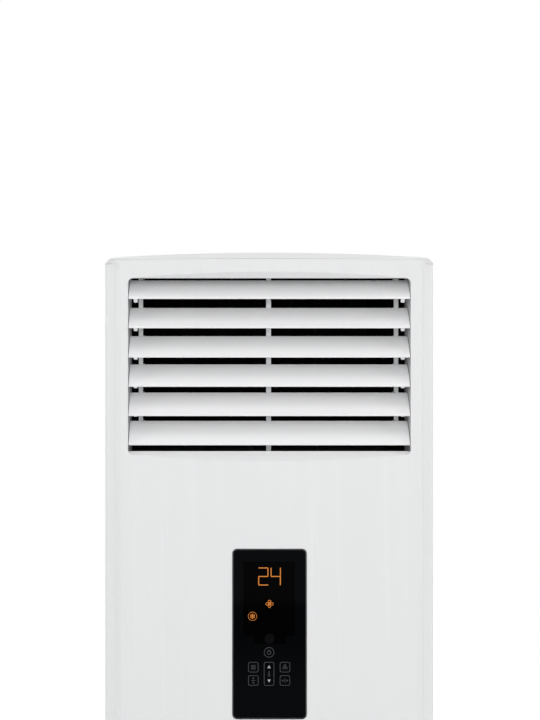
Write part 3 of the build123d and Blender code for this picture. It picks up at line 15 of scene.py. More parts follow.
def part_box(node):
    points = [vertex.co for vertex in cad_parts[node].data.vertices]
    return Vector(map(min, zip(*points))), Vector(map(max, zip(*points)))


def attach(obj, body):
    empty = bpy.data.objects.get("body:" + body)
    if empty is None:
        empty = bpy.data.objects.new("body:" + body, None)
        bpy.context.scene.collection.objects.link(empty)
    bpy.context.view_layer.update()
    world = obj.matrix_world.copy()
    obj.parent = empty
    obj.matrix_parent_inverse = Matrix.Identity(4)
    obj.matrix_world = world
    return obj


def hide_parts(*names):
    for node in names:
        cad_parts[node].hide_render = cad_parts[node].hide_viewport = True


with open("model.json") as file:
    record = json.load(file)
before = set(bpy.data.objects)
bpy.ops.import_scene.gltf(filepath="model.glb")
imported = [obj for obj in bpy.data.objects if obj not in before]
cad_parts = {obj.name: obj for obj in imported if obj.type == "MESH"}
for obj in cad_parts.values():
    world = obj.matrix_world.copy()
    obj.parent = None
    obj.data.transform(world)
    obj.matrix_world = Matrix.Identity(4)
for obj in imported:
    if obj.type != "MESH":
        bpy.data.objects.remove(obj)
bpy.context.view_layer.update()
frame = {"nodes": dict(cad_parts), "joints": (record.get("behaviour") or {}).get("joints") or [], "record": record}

log = logging.getLogger("air_conditioner")

MM = 0.001
Colour = tuple[float, float, float]
Point = tuple[float, float, float]
Sizes = tuple[float, float, float]
Place = tuple[float, float]
Span = tuple[float, float]
Socket = bpy.types.NodeSocket
ShaderNode = bpy.types.Node
WHITE = (1.0, 1.0, 1.0)
Vert = bmesh.types.BMVert
Face = bmesh.types.BMFace


# ---- Shader helpers ----
class Shader:
    """A node tree with short calls that add its nodes and set or link their inputs."""

    def __init__(self, tree: bpy.types.NodeTree) -> None:
        """Wraps the node tree of a material, a world or a group."""
        self.tree = tree
        self.body = tree.nodes.get("Principled BSDF")

    def feed(self, target: Socket, value: object) -> None:
        """Gives an input its value.

        Args:
            target: The input.
            value: An output to link, a number, a vector or a colour.
        """
        if isinstance(value, Socket):
            self.tree.links.new(value, target)
        else:
            target.default_value = (*value, 1.0) if target.type == "RGBA" else value

    def adjust(self, made: ShaderNode, **values: object) -> None:
        """Sets values of a node.

        Args:
            made: The node.
            values: Its properties, or its inputs by socket name with spaces as underscores.
        """
        for key, value in values.items():
            socket = made.inputs.get(key.replace("_", " "))
            if socket is not None and key[0].isupper():
                self.feed(socket, value)
            else:
                setattr(made, key, value)

    def node(self, kind: str, **values: object) -> ShaderNode:
        """Adds a node.

        Args:
            kind: The node's type, without the leading ShaderNode.
            values: What to set on it, as for adjust.

        Returns:
            The new node.
        """
        made = self.tree.nodes.new("ShaderNode" + kind)
        self.adjust(made, **values)
        return made

    def pattern(self, kind: str, **values: object) -> ShaderNode:
        """Adds a node, as node does, that starts from the Object coordinates."""
        return self.node(kind, Vector=self.node("TexCoord").outputs["Object"], **values)

    def maths(self, operation: str, first: object, second: object = 0.0) -> Socket:
        """Adds a Math node.

        Args:
            operation: The node's operation.
            first: A socket or a number.
            second: A socket or a number.

        Returns:
            The node's output.
        """
        made = self.node("Math", operation=operation)
        self.feed(made.inputs[0], first)
        self.feed(made.inputs[1], second)
        return made.outputs[0]

    def mix(self, mask: Socket, low: object, high: object) -> Socket:
        """Mixes two colours by a mask.

        Args:
            mask: Where the second colour shows.
            low: A colour or a colour socket.
            high: A colour or a colour socket.

        Returns:
            The mixed colour.
        """
        made = self.node("Mix", data_type="RGBA", Factor=mask)
        first, second = made.inputs[6:8]  # its two colour inputs
        self.feed(first, low)
        self.feed(second, high)
        return made.outputs[2]  # its colour output

    def ramp(self, source: Socket, low: float, high: float, start: float = 0.0,
             end: float = 1.0) -> Socket:
        """Stretches a value.

        Args:
            source: The value.
            low: The source value that gives start.
            high: The source value that gives end.
            start: First result.
            end: Last result.

        Returns:
            The stretched and clamped value.
        """
        made = self.node("MapRange", Value=source, From_Min=low, From_Max=high, To_Min=start,
                         To_Max=end)
        return made.outputs["Result"]


class Effect(Enum):
    """Shared surface effects, each one a node group."""

    GRAIN = "moulded grain"
    TONE = "slow tone"
    DUST = "settled dust"


class EffectLibrary:
    """Builds each shared effect once and places it in the materials."""

    def __init__(self) -> None:
        """Makes the node groups."""
        self.groups = {}
        self.grain()
        self.tone()
        self.dust()

    def start(self, effect: Effect, inputs: dict[str, float],
              *outputs: str) -> tuple[Shader, ShaderNode, ShaderNode]:
        """Makes an effect's empty group with its number sockets.

        Args:
            effect: The effect.
            inputs: Name and default value of each input.
            outputs: Name of each output.

        Returns:
            The group's shader helper, its input node and its output node.
        """
        tree = bpy.data.node_groups.new(effect.value, "ShaderNodeTree")
        self.groups[effect] = tree
        number = "NodeSocketFloat"
        for name, default in inputs.items():
            socket = tree.interface.new_socket(name, in_out="INPUT", socket_type=number)
            socket.default_value = default
        for name in outputs:
            tree.interface.new_socket(name, in_out="OUTPUT", socket_type=number)
        return Shader(tree), tree.nodes.new("NodeGroupInput"), tree.nodes.new("NodeGroupOutput")

    def grain(self) -> None:
        """Fine moulded or sprayed grain: a roughness and a bump height."""
        inputs = {"Scale": 900.0, "Roughness": 0.35, "Spread": 0.06}
        shader, given, result = self.start(Effect.GRAIN, inputs, "Roughness", "Height")
        fine = shader.pattern("TexNoise", Scale=given.outputs["Scale"], Detail=3.0, Roughness=0.6)
        slow = shader.pattern("TexNoise", Scale=9.0, Detail=4.0, Roughness=0.55)
        swing = shader.maths("SUBTRACT", slow.outputs["Fac"], 0.5)
        swing = shader.maths("MULTIPLY", swing, given.outputs["Spread"])
        swing = shader.maths("MULTIPLY", swing, 2.0)
        shader.adjust(result, Height=fine.outputs["Fac"],
                      Roughness=shader.maths("ADD", given.outputs["Roughness"], swing))

    def tone(self) -> None:
        """Slow change of tone over a moulding: a mask between 0 and its amount."""
        shader, given, result = self.start(Effect.TONE, {"Scale": 4.0, "Amount": 0.3}, "Mask")
        slow = shader.pattern("TexNoise", Scale=given.outputs["Scale"], Detail=5.0, Roughness=0.5,
                              Distortion=0.3)
        spread = shader.ramp(slow.outputs["Fac"], 0.35, 0.65)
        shader.adjust(result, Mask=shader.maths("MULTIPLY", spread, given.outputs["Amount"]))

    def dust(self) -> None:
        """Dust that settles on surfaces that face up: a mask between 0 and its amount."""
        shader, given, result = self.start(Effect.DUST, {"Amount": 0.2}, "Mask")
        facing = shader.node("NewGeometry").outputs["Normal"]
        parts = shader.node("SeparateXYZ", Vector=facing)
        up = shader.ramp(parts.outputs["Z"], 0.55, 1.0)
        cloud = shader.pattern("TexNoise", Scale=26.0, Detail=6.0, Roughness=0.7)
        patch = shader.ramp(cloud.outputs["Fac"], 0.38, 0.68)
        mask = shader.maths("MULTIPLY", up, patch)
        shader.adjust(result, Mask=shader.maths("MULTIPLY", mask, given.outputs["Amount"]))

    def place(self, shader: Shader, effect: Effect, **values: float) -> ShaderNode:
        """Puts an effect in a material, with its input values, and returns the group node."""
        return shader.node("Group", node_tree=self.groups[effect], **values)


EFFECTS = EffectLibrary()


# ---- Finishes ----
def shaded(colour: Colour, factor: float) -> Colour:
    """A colour made darker by a factor."""
    return tuple(channel * factor for channel in colour)


@dataclass(frozen=True)
class Finish:
    """A surface finish: its colour, gloss and grain."""

    name: str
    colour: Colour
    roughness: float
    metallic: float = 0.0
    coat: float = 0.0
    coat_roughness: float = 0.12
    specular: float = 0.5
    grain_scale: float = 900.0
    grain_depth: float = 0.02
    grain_height: float = 0.4 * MM
    spread: float = 0.05
    tone: float = 0.25
    tone_shift: float = 0.93
    dust: float = 0.0
    dust_colour: Colour = (0.5, 0.48, 0.45)

    def material(self) -> bpy.types.Material:
        """Makes the finish's material the first time it is asked for.

        Returns:
            The material.
        """
        label = "finish " + self.name
        known = bpy.data.materials.get(label)
        if known is not None:
            return known
        made = bpy.data.materials.new(label)
        made.use_nodes = True
        made.diffuse_color = (*self.colour, 1.0)
        shader = Shader(made.node_tree)
        shader.adjust(shader.body, Metallic=self.metallic, Specular_IOR_Level=self.specular)
        if self.coat:
            shader.adjust(shader.body, Coat_Weight=self.coat, Coat_Roughness=self.coat_roughness)
        colour = self.base(shader)
        if self.dust:
            dust = EFFECTS.place(shader, Effect.DUST, Amount=self.dust)
            colour = shader.mix(dust.outputs["Mask"], colour, self.dust_colour)
        shader.adjust(shader.body, Base_Color=colour)
        self.relief(shader)
        return made

    def base(self, shader: Shader) -> Socket:
        """Base colour with its slow change of tone."""
        tone = EFFECTS.place(shader, Effect.TONE, Amount=self.tone)
        return shader.mix(tone.outputs["Mask"], self.colour, shaded(self.colour, self.tone_shift))

    def relief(self, shader: Shader) -> None:
        """Roughness and relief of the grain.

        Args:
            shader: The material's shader helper.
        """
        grain = EFFECTS.place(shader, Effect.GRAIN, Scale=self.grain_scale,
                              Roughness=self.roughness, Spread=self.spread)
        self.surface(shader, grain.outputs["Roughness"], grain.outputs["Height"])

    def surface(self, shader: Shader, roughness: object, height: Socket) -> None:
        """Gives the material its roughness and its relief.

        Args:
            shader: The material's shader helper.
            roughness: A socket or a number.
            height: Height of the relief.
        """
        bump = shader.node("Bump", Strength=self.grain_depth, Distance=self.grain_height,
                           Height=height)
        shader.adjust(shader.body, Roughness=roughness, Normal=bump.outputs["Normal"])


@dataclass(frozen=True)
class Galvanised(Finish):
    """Zinc-coated steel with its spangle."""

    spangle: float = 60.0
    crystal_shade: float = 0.72

    def base(self, shader: Shader) -> Socket:
        """Spangled zinc: each crystal has a tone of its own.

        Args:
            shader: The material's shader helper.

        Returns:
            The colour.
        """
        cells = shader.pattern("TexVoronoi", Scale=self.spangle)
        split = shader.node("SeparateColor", Color=cells.outputs["Color"])
        return shader.mix(split.outputs[0], self.colour, shaded(self.colour, self.crystal_shade))


@dataclass(frozen=True)
class BeadFoam(Finish):
    """Expanded foam: packed beads with sunk joints."""

    grain_depth: float = 0.5
    grain_height: float = 0.6 * MM
    bead: float = 210.0
    joint: float = 0.25

    def relief(self, shader: Shader) -> None:
        """Rounded beads as relief.

        Args:
            shader: The material's shader helper.
        """
        cells = shader.pattern("TexVoronoi", feature="DISTANCE_TO_EDGE", Scale=self.bead)
        height = shader.ramp(cells.outputs["Distance"], 0.0, self.joint)
        self.surface(shader, self.roughness, height)


@dataclass(frozen=True)
class Brushed(Finish):
    """Metal drawn or brushed along one axis."""

    grain_height: float = 0.1 * MM
    along: Point = (1.0, 40.0, 40.0)
    smoothest: float = 0.02

    def relief(self, shader: Shader) -> None:
        """Long thin streaks along one axis.

        Args:
            shader: The material's shader helper.
        """
        stretch = shader.pattern("Mapping", Scale=self.along).outputs[0]
        streak = shader.node("TexNoise", Vector=stretch, Scale=30.0, Detail=6.0,
                             Roughness=0.65).outputs["Fac"]
        gloss = shader.ramp(streak, 0.3, 0.7, max(self.roughness - self.spread, self.smoothest),
                            self.roughness + self.spread)
        self.surface(shader, gloss, streak)


@dataclass(frozen=True)
class FineMesh(Finish):
    """Woven filter mesh between its ribs."""

    threads: float = 3200.0
    ground_shade: float = 0.25

    def base(self, shader: Shader) -> Socket:
        """Crossed threads over a darker ground.

        Args:
            shader: The material's shader helper.

        Returns:
            The colour.
        """
        parts = shader.pattern("SeparateXYZ")
        lines = []
        for axis in ("X", "Z"):
            phase = shader.maths("MULTIPLY", parts.outputs[axis], self.threads)
            lines.append(shader.ramp(shader.maths("SINE", phase), 0.1, 0.9))
        weave = shader.maths("MAXIMUM", *lines)
        return shader.mix(weave, shaded(self.colour, self.ground_shade), self.colour)


@dataclass(frozen=True)
class Glowing(Finish):
    """A lit segment or lamp behind the window."""

    glow: Colour = (0.95, 0.36, 0.06)
    strength: float = 0.36
    unevenness: float = 0.35
    patches: float = 140.0
    dimmest: float = 0.7

    def relief(self, shader: Shader) -> None:
        """Lights the surface, a little unevenly, as a lamp behind a diffuser does.

        Args:
            shader: The material's shader helper.
        """
        tone = EFFECTS.place(shader, Effect.TONE, Amount=self.unevenness, Scale=self.patches)
        light = shader.mix(tone.outputs["Mask"], self.glow, shaded(self.glow, self.dimmest))
        shader.adjust(shader.body, Roughness=self.roughness, Emission_Color=light,
                      Emission_Strength=self.strength)


class Palette:
    """The finishes of this air conditioner."""

    PANEL = Finish("panel_white", (0.80, 0.805, 0.81), 0.52, specular=0.35, grain_depth=0.05,
                   tone=0.2, tone_shift=0.975, dust=0.05)
    SHEET = Finish("cabinet_white", (0.78, 0.785, 0.79), 0.5, specular=0.4, grain_scale=520.0,
                   grain_depth=0.10, tone=0.3, tone_shift=0.97, dust=0.05)
    # Blade plastic is the panels' plastic, given a lighter colour here: painted light that brightens the blades'
    # shaded faces in the outlet, and the sill, pegs and link bars with them.
    BLADE = Finish("blade_white_painted_light", (0.89, 0.893, 0.90), 0.45, specular=0.4, grain_depth=0.03,
                   tone=0.15, tone_shift=0.98, dust=0.08)
    FRAME = Finish("frame_grey", (0.50, 0.51, 0.52), 0.55, grain_depth=0.1, dust=0.25)
    POST = Finish("post_grey", (0.792, 0.814, 0.836), 0.5, grain_depth=0.1, dust=0.1)
    # Black plastic vanes, darker and duller than the other dark plastic: partly their own colour, partly painted
    # shade for the dark gaps behind the blades.
    VANE = Finish("vane_black_painted_shade", (0.0025, 0.0025, 0.003), 0.5, specular=0.03, grain_depth=0.1)
    DARK = Finish("dark_plastic", (0.012, 0.012, 0.013), 0.6, specular=0.3, grain_depth=0.15,
                  dust=0.1)
    RIM = Brushed("rim_graphite", (0.05, 0.05, 0.053), 0.3, metallic=1.0, grain_depth=0.05,
                  along=(40.0, 40.0, 1.0))
    GLOSS = Finish("display_gloss", (0.0010, 0.0013, 0.0017), 0.05, specular=0.035,
                   spread=0.02, grain_depth=0.0)
    RUBBER = Finish("foot_rubber", (0.02, 0.02, 0.022), 0.78, specular=0.3, grain_scale=400.0,
                    grain_depth=0.4, dust=0.4)
    ZINC = Galvanised("galvanised_steel", (0.56, 0.58, 0.60), 0.38, metallic=0.9,
                      grain_depth=0.05)
    SCREW = Brushed("screw_steel", (0.5, 0.51, 0.53), 0.3, metallic=1.0, grain_depth=0.05)
    BOARD = Finish("circuit_board", (0.015, 0.10, 0.045), 0.35, coat=0.3, grain_scale=300.0,
                   tone_shift=0.6)
    CREAM = Finish("terminal_cream", (0.62, 0.56, 0.42), 0.5, grain_depth=0.05)
    # Near-black foam of the duct: partly its own colour, partly painted shade that darkens the duct seen through
    # the outlet.
    FOAM = BeadFoam("duct_foam", (0.005, 0.005, 0.006), 0.9, specular=0.04)
    FIN = Brushed("fin_aluminium", (0.72, 0.74, 0.76), 0.32, metallic=0.95, grain_depth=0.1,
                  along=(1.0, 1.0, 0.05))
    COPPER = Finish("pipe_copper", (0.62, 0.28, 0.14), 0.3, metallic=1.0, grain_scale=120.0,
                    tone=0.8, tone_shift=0.55)
    BRASS = Brushed("nut_brass", (0.68, 0.48, 0.18), 0.28, metallic=1.0)
    SCROLL = Finish("scroll_plastic", (0.045, 0.046, 0.05), 0.5, grain_depth=0.15, dust=0.3)
    WHEEL = Finish("wheel_plastic", (0.035, 0.037, 0.042), 0.42, grain_depth=0.1, dust=0.2)
    SHAFT = Brushed("shaft_steel", (0.55, 0.56, 0.58), 0.25, metallic=1.0)
    MOTOR = Finish("motor_paint", (0.07, 0.074, 0.08), 0.45, grain_scale=500.0,
                   grain_depth=0.2, dust=0.2)
    MESH = FineMesh("filter_mesh", (0.10, 0.15, 0.24), 0.6, grain_depth=0.05)
    SCREEN = Finish("screen_black", (0.0002, 0.0002, 0.0004), 0.05, specular=0.025, spread=0.02,
                    grain_depth=0.0)
    SPOT = Finish("receiver_dark", (0.0022, 0.0020, 0.0023), 0.25, specular=0.04,
                  grain_depth=0.0)
    KEY_LINE = Finish("key_grey", (0.062, 0.065, 0.068), 0.5, specular=0.2, grain_depth=0.0)
    KEY_WHITE = Finish("key_white", (0.42, 0.42, 0.43), 0.5, specular=0.2, grain_depth=0.0)
    LIT = Glowing("lamp_orange", (0.40, 0.12, 0.02), 0.4, specular=0.1, grain_depth=0.0)


BLADES = tuple(f"louvre_blade_{index}" for index in range(1, 7))
VANES = tuple(f"vane_{index}" for index in range(1, 9))
FINISH_NODES: tuple[tuple[Finish, tuple[str, ...]], ...] = (
    (Palette.PANEL, ("plinth", "left_column", "right_column", "top_cover", "upper_fascia",
                     "intake_panel")),
    (Palette.SHEET, ("left_side_panel", "right_side_panel", "rear_panel")),
    (Palette.ZINC, ("base_pan", "wall_bracket", "evaporator_end_plates", "motor_bracket",
                    "electrical_box", "electrical_cover")),
    (Palette.RUBBER, ("base_feet", "grommets")),
    (Palette.SCREW, ("rear_screws",)),
    (Palette.FRAME, ("louvre_frame", "drain_pan")),
    (Palette.POST, ("louvre_centre_post",)),
    (Palette.BLADE, ("louvre_link_bars", *BLADES)),
    (Palette.VANE, ("vane_link_bar", *VANES)),
    (Palette.DARK, ("louvre_motor", "vane_cassette", "vane_motor")),
    (Palette.RIM, ("display_bezel",)),
    (Palette.GLOSS, ("display_window",)),
    (Palette.BOARD, ("display_board", "control_board")),
    (Palette.FOAM, ("air_duct",)),
    (Palette.FIN, ("evaporator_fins",)),
    (Palette.COPPER, ("evaporator_tubes", "gas_pipe", "liquid_pipe")),
    (Palette.BRASS, ("flare_nuts",)),
    (Palette.SCROLL, ("scroll_housing", "inlet_ring", "filter_frame")),
    (Palette.WHEEL, ("fan_wheel_plate", "fan_wheel_ring", "fan_wheel_blades")),
    (Palette.SHAFT, ("motor_shaft",)),
    (Palette.MOTOR, ("fan_motor",)),
    (Palette.CREAM, ("terminal_block",)),
    (Palette.MESH, ("air_filter",)),
)
NODE_FINISHES = {node: finish for finish, nodes in FINISH_NODES for node in nodes}


def dress_nodes() -> None:
    """Gives every CAD node its finish."""
    for name, node in frame["nodes"].items():
        node.data.materials.clear()
        node.data.materials.append(NODE_FINISHES[name].material())
        log.info("%s: %s", name, NODE_FINISHES[name].name)


def slot_of(node: str) -> str:
    """The record's material slot of a CAD node."""
    return next(part["material_slot"] for part in frame["record"]["subparts"]
                if part["node"] == node)


def body_of(node: str) -> str:
    """The body that a CAD node belongs to."""
    return next(body for body, members in frame["record"]["behaviour"]["bodies"].items()
                if node in members)


# ---- Shapes ----
FACING = Matrix.Rotation(math.radians(90), 4, "X")


def linked(name: str, data: bpy.types.ID) -> bpy.types.Object:
    """Makes an object of some data and links it to the scene.

    Args:
        name: The object's name.
        data: Its mesh, lamp or camera.

    Returns:
        The new object.
    """
    made = bpy.data.objects.new(name, data)
    bpy.context.scene.collection.objects.link(made)
    return made


def spoke(angle: float, reach: float) -> Vector:
    """The point at a distance from the origin, in a direction given in degrees."""
    return Vector((math.cos(math.radians(angle)), math.sin(math.radians(angle)))) * reach


class Shape:
    """A bmesh with short calls that shape it; flat drawings lie in X and Y."""

    def __init__(self) -> None:
        """Starts an empty shape."""
        self.mesh = bmesh.new()

    @staticmethod
    def points(made: dict[str, list]) -> list[Vert]:
        """Vertices among an operator's results."""
        return [item for item in made["geom"] if isinstance(item, Vert)]

    def plate(self, width: float, height: float, corner: float, at: Sequence[float],
              steps: int = 6) -> Face:
        """Draws a rounded rectangle.

        Args:
            width: Size along X.
            height: Size along Y.
            corner: Corner radius.
            at: Its centre.
            steps: Segments of each corner.

        Returns:
            The drawn face.
        """
        made = bmesh.ops.create_grid(self.mesh, x_segments=1, y_segments=1, size=0.5)["verts"]
        bmesh.ops.scale(self.mesh, verts=made, vec=(width, height, 1.0))
        bmesh.ops.translate(self.mesh, verts=made, vec=(*at, 0.0))
        face = made[0].link_faces[0]
        if corner > 0.0:
            ring = bmesh.ops.bevel(self.mesh, geom=list(face.verts), affect="VERTICES",
                                   offset=corner, segments=steps, profile=0.5, material=-1)
            face = max(ring["verts"][0].link_faces, key=lambda one: one.calc_area())
        return face

    def disc(self, radius: float, at: Sequence[float], steps: int = 32,
             turn: float = 0.0) -> Face:
        """Draws a disc, or with few steps a polygon.

        Args:
            radius: Radius of its corners.
            at: Its centre.
            steps: Number of corners.
            turn: Its turn in degrees.

        Returns:
            The drawn face.
        """
        place = Matrix.Translation((*at, 0.0)) @ Matrix.Rotation(math.radians(turn), 4, "Z")
        made = bmesh.ops.create_circle(self.mesh, cap_ends=True, segments=steps, radius=radius,
                                       matrix=place)["verts"]
        return made[0].link_faces[0]

    def stroke(self, start: Sequence[float], end: Sequence[float], width: float) -> None:
        """Draws a straight stroke with half-round ends past its two points.

        Args:
            start: Centre of its first end.
            end: Centre of its last end.
            width: Its width.
        """
        run = Vector(end) - Vector(start)
        middle = (Vector(start) + Vector(end)) / 2
        nearly_half = 0.499 * width
        face = self.plate(run.length + width, width, nearly_half, (0.0, 0.0), steps=4)
        turn = Matrix.Rotation(math.atan2(run.y, run.x), 4, "Z")
        bmesh.ops.transform(self.mesh, matrix=Matrix.Translation((*middle, 0.0)) @ turn,
                            verts=list(face.verts))

    def hollow(self, face: Face, wall: float) -> None:
        """Leaves only a rim of a drawn face.

        Args:
            face: The face.
            wall: Width of the rim.
        """
        bmesh.ops.inset_region(self.mesh, faces=[face], thickness=wall, use_boundary=True,
                               use_even_offset=True)
        bmesh.ops.delete(self.mesh, geom=[face], context="FACES_ONLY")

    def ring(self, radius: float, at: Sequence[float], wall: float, steps: int) -> None:
        """Draws a ring of a given outer radius."""
        self.hollow(self.disc(radius, at, steps), wall)

    def extrude(self, run: Point) -> None:
        """Gives every drawn face a thickness.

        Args:
            run: How far and which way, as a vector.
        """
        made = bmesh.ops.extrude_face_region(self.mesh, geom=list(self.mesh.faces))
        bmesh.ops.translate(self.mesh, verts=self.points(made), vec=run)
        bmesh.ops.recalc_face_normals(self.mesh, faces=self.mesh.faces)

    def face_front(self, x: float, y: float, z: float) -> None:
        """Stands the drawing up to face the front, its origin at a point."""
        bmesh.ops.transform(self.mesh, matrix=Matrix.Translation((x, y, z)) @ FACING,
                            verts=self.mesh.verts)

    def round_edges(self, width: float, steps: int = 2, angle: float = 40.0) -> None:
        """Rounds every edge sharper than an angle.

        Args:
            width: Width of the rounding.
            steps: Its segments.
            angle: The angle in degrees.
        """
        sharp = [edge for edge in self.mesh.edges
                 if len(edge.link_faces) == 2
                 and edge.calc_face_angle(0.0) > math.radians(angle)]
        bmesh.ops.bevel(self.mesh, geom=sharp, affect="EDGES", offset=width, segments=steps,
                        profile=0.5, material=-1, clamp_overlap=True)

    def piece(self, name: str, finish: Finish, slot: str, body: str = "cabinet",
              replaces: Sequence[str] = (), angle: float = 35.0) -> bpy.types.Object:
        """Turns the shape into a piece of the scene.

        Args:
            name: The piece's name.
            finish: Its finish.
            slot: Not used.
            body: The body that it rides on.
            replaces: CAD nodes that it stands for.
            angle: Edges sharper than this many degrees stay crisp.

        Returns:
            The new object.
        """
        mesh = bpy.data.meshes.new(name)
        self.mesh.to_mesh(mesh)
        self.mesh.free()
        mesh.shade_smooth()
        mesh.set_sharp_from_angle(angle=math.radians(angle))
        mesh.materials.append(finish.material())
        made = linked(name, mesh)
        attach(made, body)
        if replaces:
            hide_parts(*replaces)
        log.info("%s: %d faces", name, len(mesh.polygons))
        return made


# ---- Mouldings and sheets with softened edges ----
@dataclass(frozen=True)
class Bow:
    """A shallow arc across the cabinet, symmetric about its middle."""

    crown: float
    half: float
    rise: float
    sense: int
    overrun: float = 1.0 * MM

    def level(self, x: float) -> float:
        """Place of the arc at x: its depth in plan, or its height seen from the front."""
        radius = (self.half**2 + self.rise**2) / (2 * self.rise)
        return self.crown + self.sense * (radius - math.sqrt(radius**2 - x**2))

    def holds(self, x: float, level: float, reach: float) -> bool:
        """Whether a point lies on the arc, within a small reach."""
        return abs(x) <= self.half + self.overrun and abs(level - self.level(x)) < reach


FRONT_BOW = Bow(-205.0 * MM, 270.0 * MM, 13.53 * MM, 1)
CROWN_ARCH = Bow(1825.0 * MM, 259.0 * MM, 10.5 * MM, -1)


@dataclass
class Moulding:
    """A CAD node's shape with its edges rounded and its curved faces drawn smooth."""

    node: str
    edge: float = 0.45 * MM
    steps: int = 2
    crease: float = 31.0
    bowed: bool = False
    arched: bool = False
    strip: float = 9.0 * MM
    bow_zone: float = 14.0 * MM
    reach: float = 0.3 * MM
    weld: float = 0.002 * MM
    flatness: float = 0.15

    def merged(self) -> Shape:
        """Merges the node's triangles into its plain faces.

        Returns:
            The merged shape.
        """
        shape = Shape()
        shape.mesh.from_mesh(frame["nodes"][self.node].data)
        bmesh.ops.remove_doubles(shape.mesh, verts=shape.mesh.verts, dist=self.weld)
        bmesh.ops.dissolve_limit(shape.mesh, angle_limit=math.radians(self.flatness),
                                 verts=shape.mesh.verts, edges=shape.mesh.edges)
        return shape

    def cut_strips(self, shape: Shape) -> None:
        """Cuts the curved faces into narrow upright strips.

        Args:
            shape: The merged shape.
        """
        half = max(abs(vert.co.x) for vert in shape.mesh.verts)
        count = int(half / self.strip)
        ahead = FRONT_BOW.crown + self.bow_zone
        for index in range(-count, count + 1):
            near = [face for face in shape.mesh.faces
                    if self.arched or min(vert.co.y for vert in face.verts) < ahead]
            edges = {edge for face in near for edge in face.edges}
            verts = {vert for face in near for vert in face.verts}
            bmesh.ops.bisect_plane(shape.mesh, geom=[*near, *edges, *verts], dist=self.weld / 2,
                                   plane_co=(index * self.strip, 0.0, 0.0),
                                   plane_no=(1.0, 0.0, 0.0))

    def draw_curves(self, shape: Shape) -> None:
        """Lays the strips on the true curves of the front and of the crown.

        Args:
            shape: The shape, cut into strips.
        """
        for vert in shape.mesh.verts:
            if FRONT_BOW.holds(vert.co.x, vert.co.y, self.reach):
                vert.co.y = FRONT_BOW.level(vert.co.x)
            if self.arched and CROWN_ARCH.holds(vert.co.x, vert.co.z, self.reach):
                vert.co.z = CROWN_ARCH.level(vert.co.x)

    def build(self) -> None:
        """Builds the piece in the node's place."""
        shape = self.merged()
        if self.bowed or self.arched:
            self.cut_strips(shape)
            self.draw_curves(shape)
        made = shape.piece(self.node + "_shape", NODE_FINISHES[self.node], slot_of(self.node),
                           body_of(self.node), (self.node,), self.crease)
        soften = made.modifiers.new("edges", "BEVEL")
        soften.width = self.edge
        soften.segments = self.steps
        soften.limit_method = "ANGLE"
        soften.angle_limit = math.radians(self.crease)
        soften.harden_normals = True
        soften.use_clamp_overlap = True


@dataclass
class Cover(Moulding):
    """The top cover: its front slope is whole, and the hollow ends below it.

    The slope is known by its normal: how far it points up, and how far forward at least.
    """

    skin: float = 1.2 * MM
    lip: float = 20.0 * MM
    slope_up: Span = (0.85, 0.98)
    slope_ahead: float = 0.2

    def under_crown(self, vert: Vert) -> bool:
        """Whether a vertex of the slope borders the hollow under the crown."""
        behind = vert.co.y > FRONT_BOW.crown + self.lip
        return behind and not CROWN_ARCH.holds(vert.co.x, vert.co.z, self.skin)

    def merged(self) -> Shape:
        """Merges the cover's faces and closes the slope where the hollow would break it.

        Returns:
            The mended shape.
        """
        shape = super().merged()
        least, most = self.slope_up
        slope = {face for face in shape.mesh.faces
                 if least < face.normal.z < most and face.normal.y < -self.slope_ahead}
        rim = [edge for edge in shape.mesh.edges if len(slope & set(edge.link_faces)) == 1]
        inner = [edge for edge in rim if all(map(self.under_crown, edge.verts))]
        outer = [edge for edge in rim if edge not in inner]
        bmesh.ops.delete(shape.mesh, geom=list(slope), context="FACES")
        bmesh.ops.edgeloop_fill(shape.mesh, edges=outer)
        bmesh.ops.edgeloop_fill(shape.mesh, edges=inner)
        sunk = {vert for edge in inner for vert in edge.verts}
        bmesh.ops.translate(shape.mesh, verts=list(sunk), vec=(0.0, 0.0, -self.skin))
        bmesh.ops.recalc_face_normals(shape.mesh, faces=shape.mesh.faces)
        log.info("cover: %d edges round the slope, %d round the hollow", len(outer), len(inner))
        return shape


# ---- Display ----
@dataclass
class WindowPrint:
    """Something printed or lit on the black window.

    Places and sizes are in millimetres, measured from the middle of the window's top edge, with
    Y upwards.
    """

    film: float = 0.06

    def lay(self, shape: Shape, name: str, finish: Finish, layer: float = 0.0) -> None:
        """Lays a drawing on the window.

        Args:
            shape: The drawing.
            name: The piece's name.
            finish: Its finish.
            layer: Films between its underside and the window.
        """
        low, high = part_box("display_window")
        shape.extrude((0.0, 0.0, self.film))
        bmesh.ops.scale(shape.mesh, verts=shape.mesh.verts, vec=(MM, MM, MM))
        shape.face_front(0.0, low.y - layer * self.film * MM, high.z)
        shape.piece(name, finish, "display_black")


@dataclass
class Screen(WindowPrint):
    """Blacker field behind the digits, with a narrower tab under it."""

    width: float = 84.0
    height: float = 120.6
    drop: float = 18.4
    shift: float = -0.7
    tab_width: float = 50.8
    tab_height: float = 13.1
    tab_shift: float = 1.6

    def build(self) -> None:
        """Builds the field."""
        shape = Shape()
        foot = -self.drop - self.height
        shape.plate(self.width, self.height, 0.0, (self.shift, foot + self.height / 2))
        shape.plate(self.tab_width, self.tab_height, 0.0,
                    (self.tab_shift, foot - self.tab_height / 2))
        self.lay(shape, "display_screen", Palette.SCREEN)


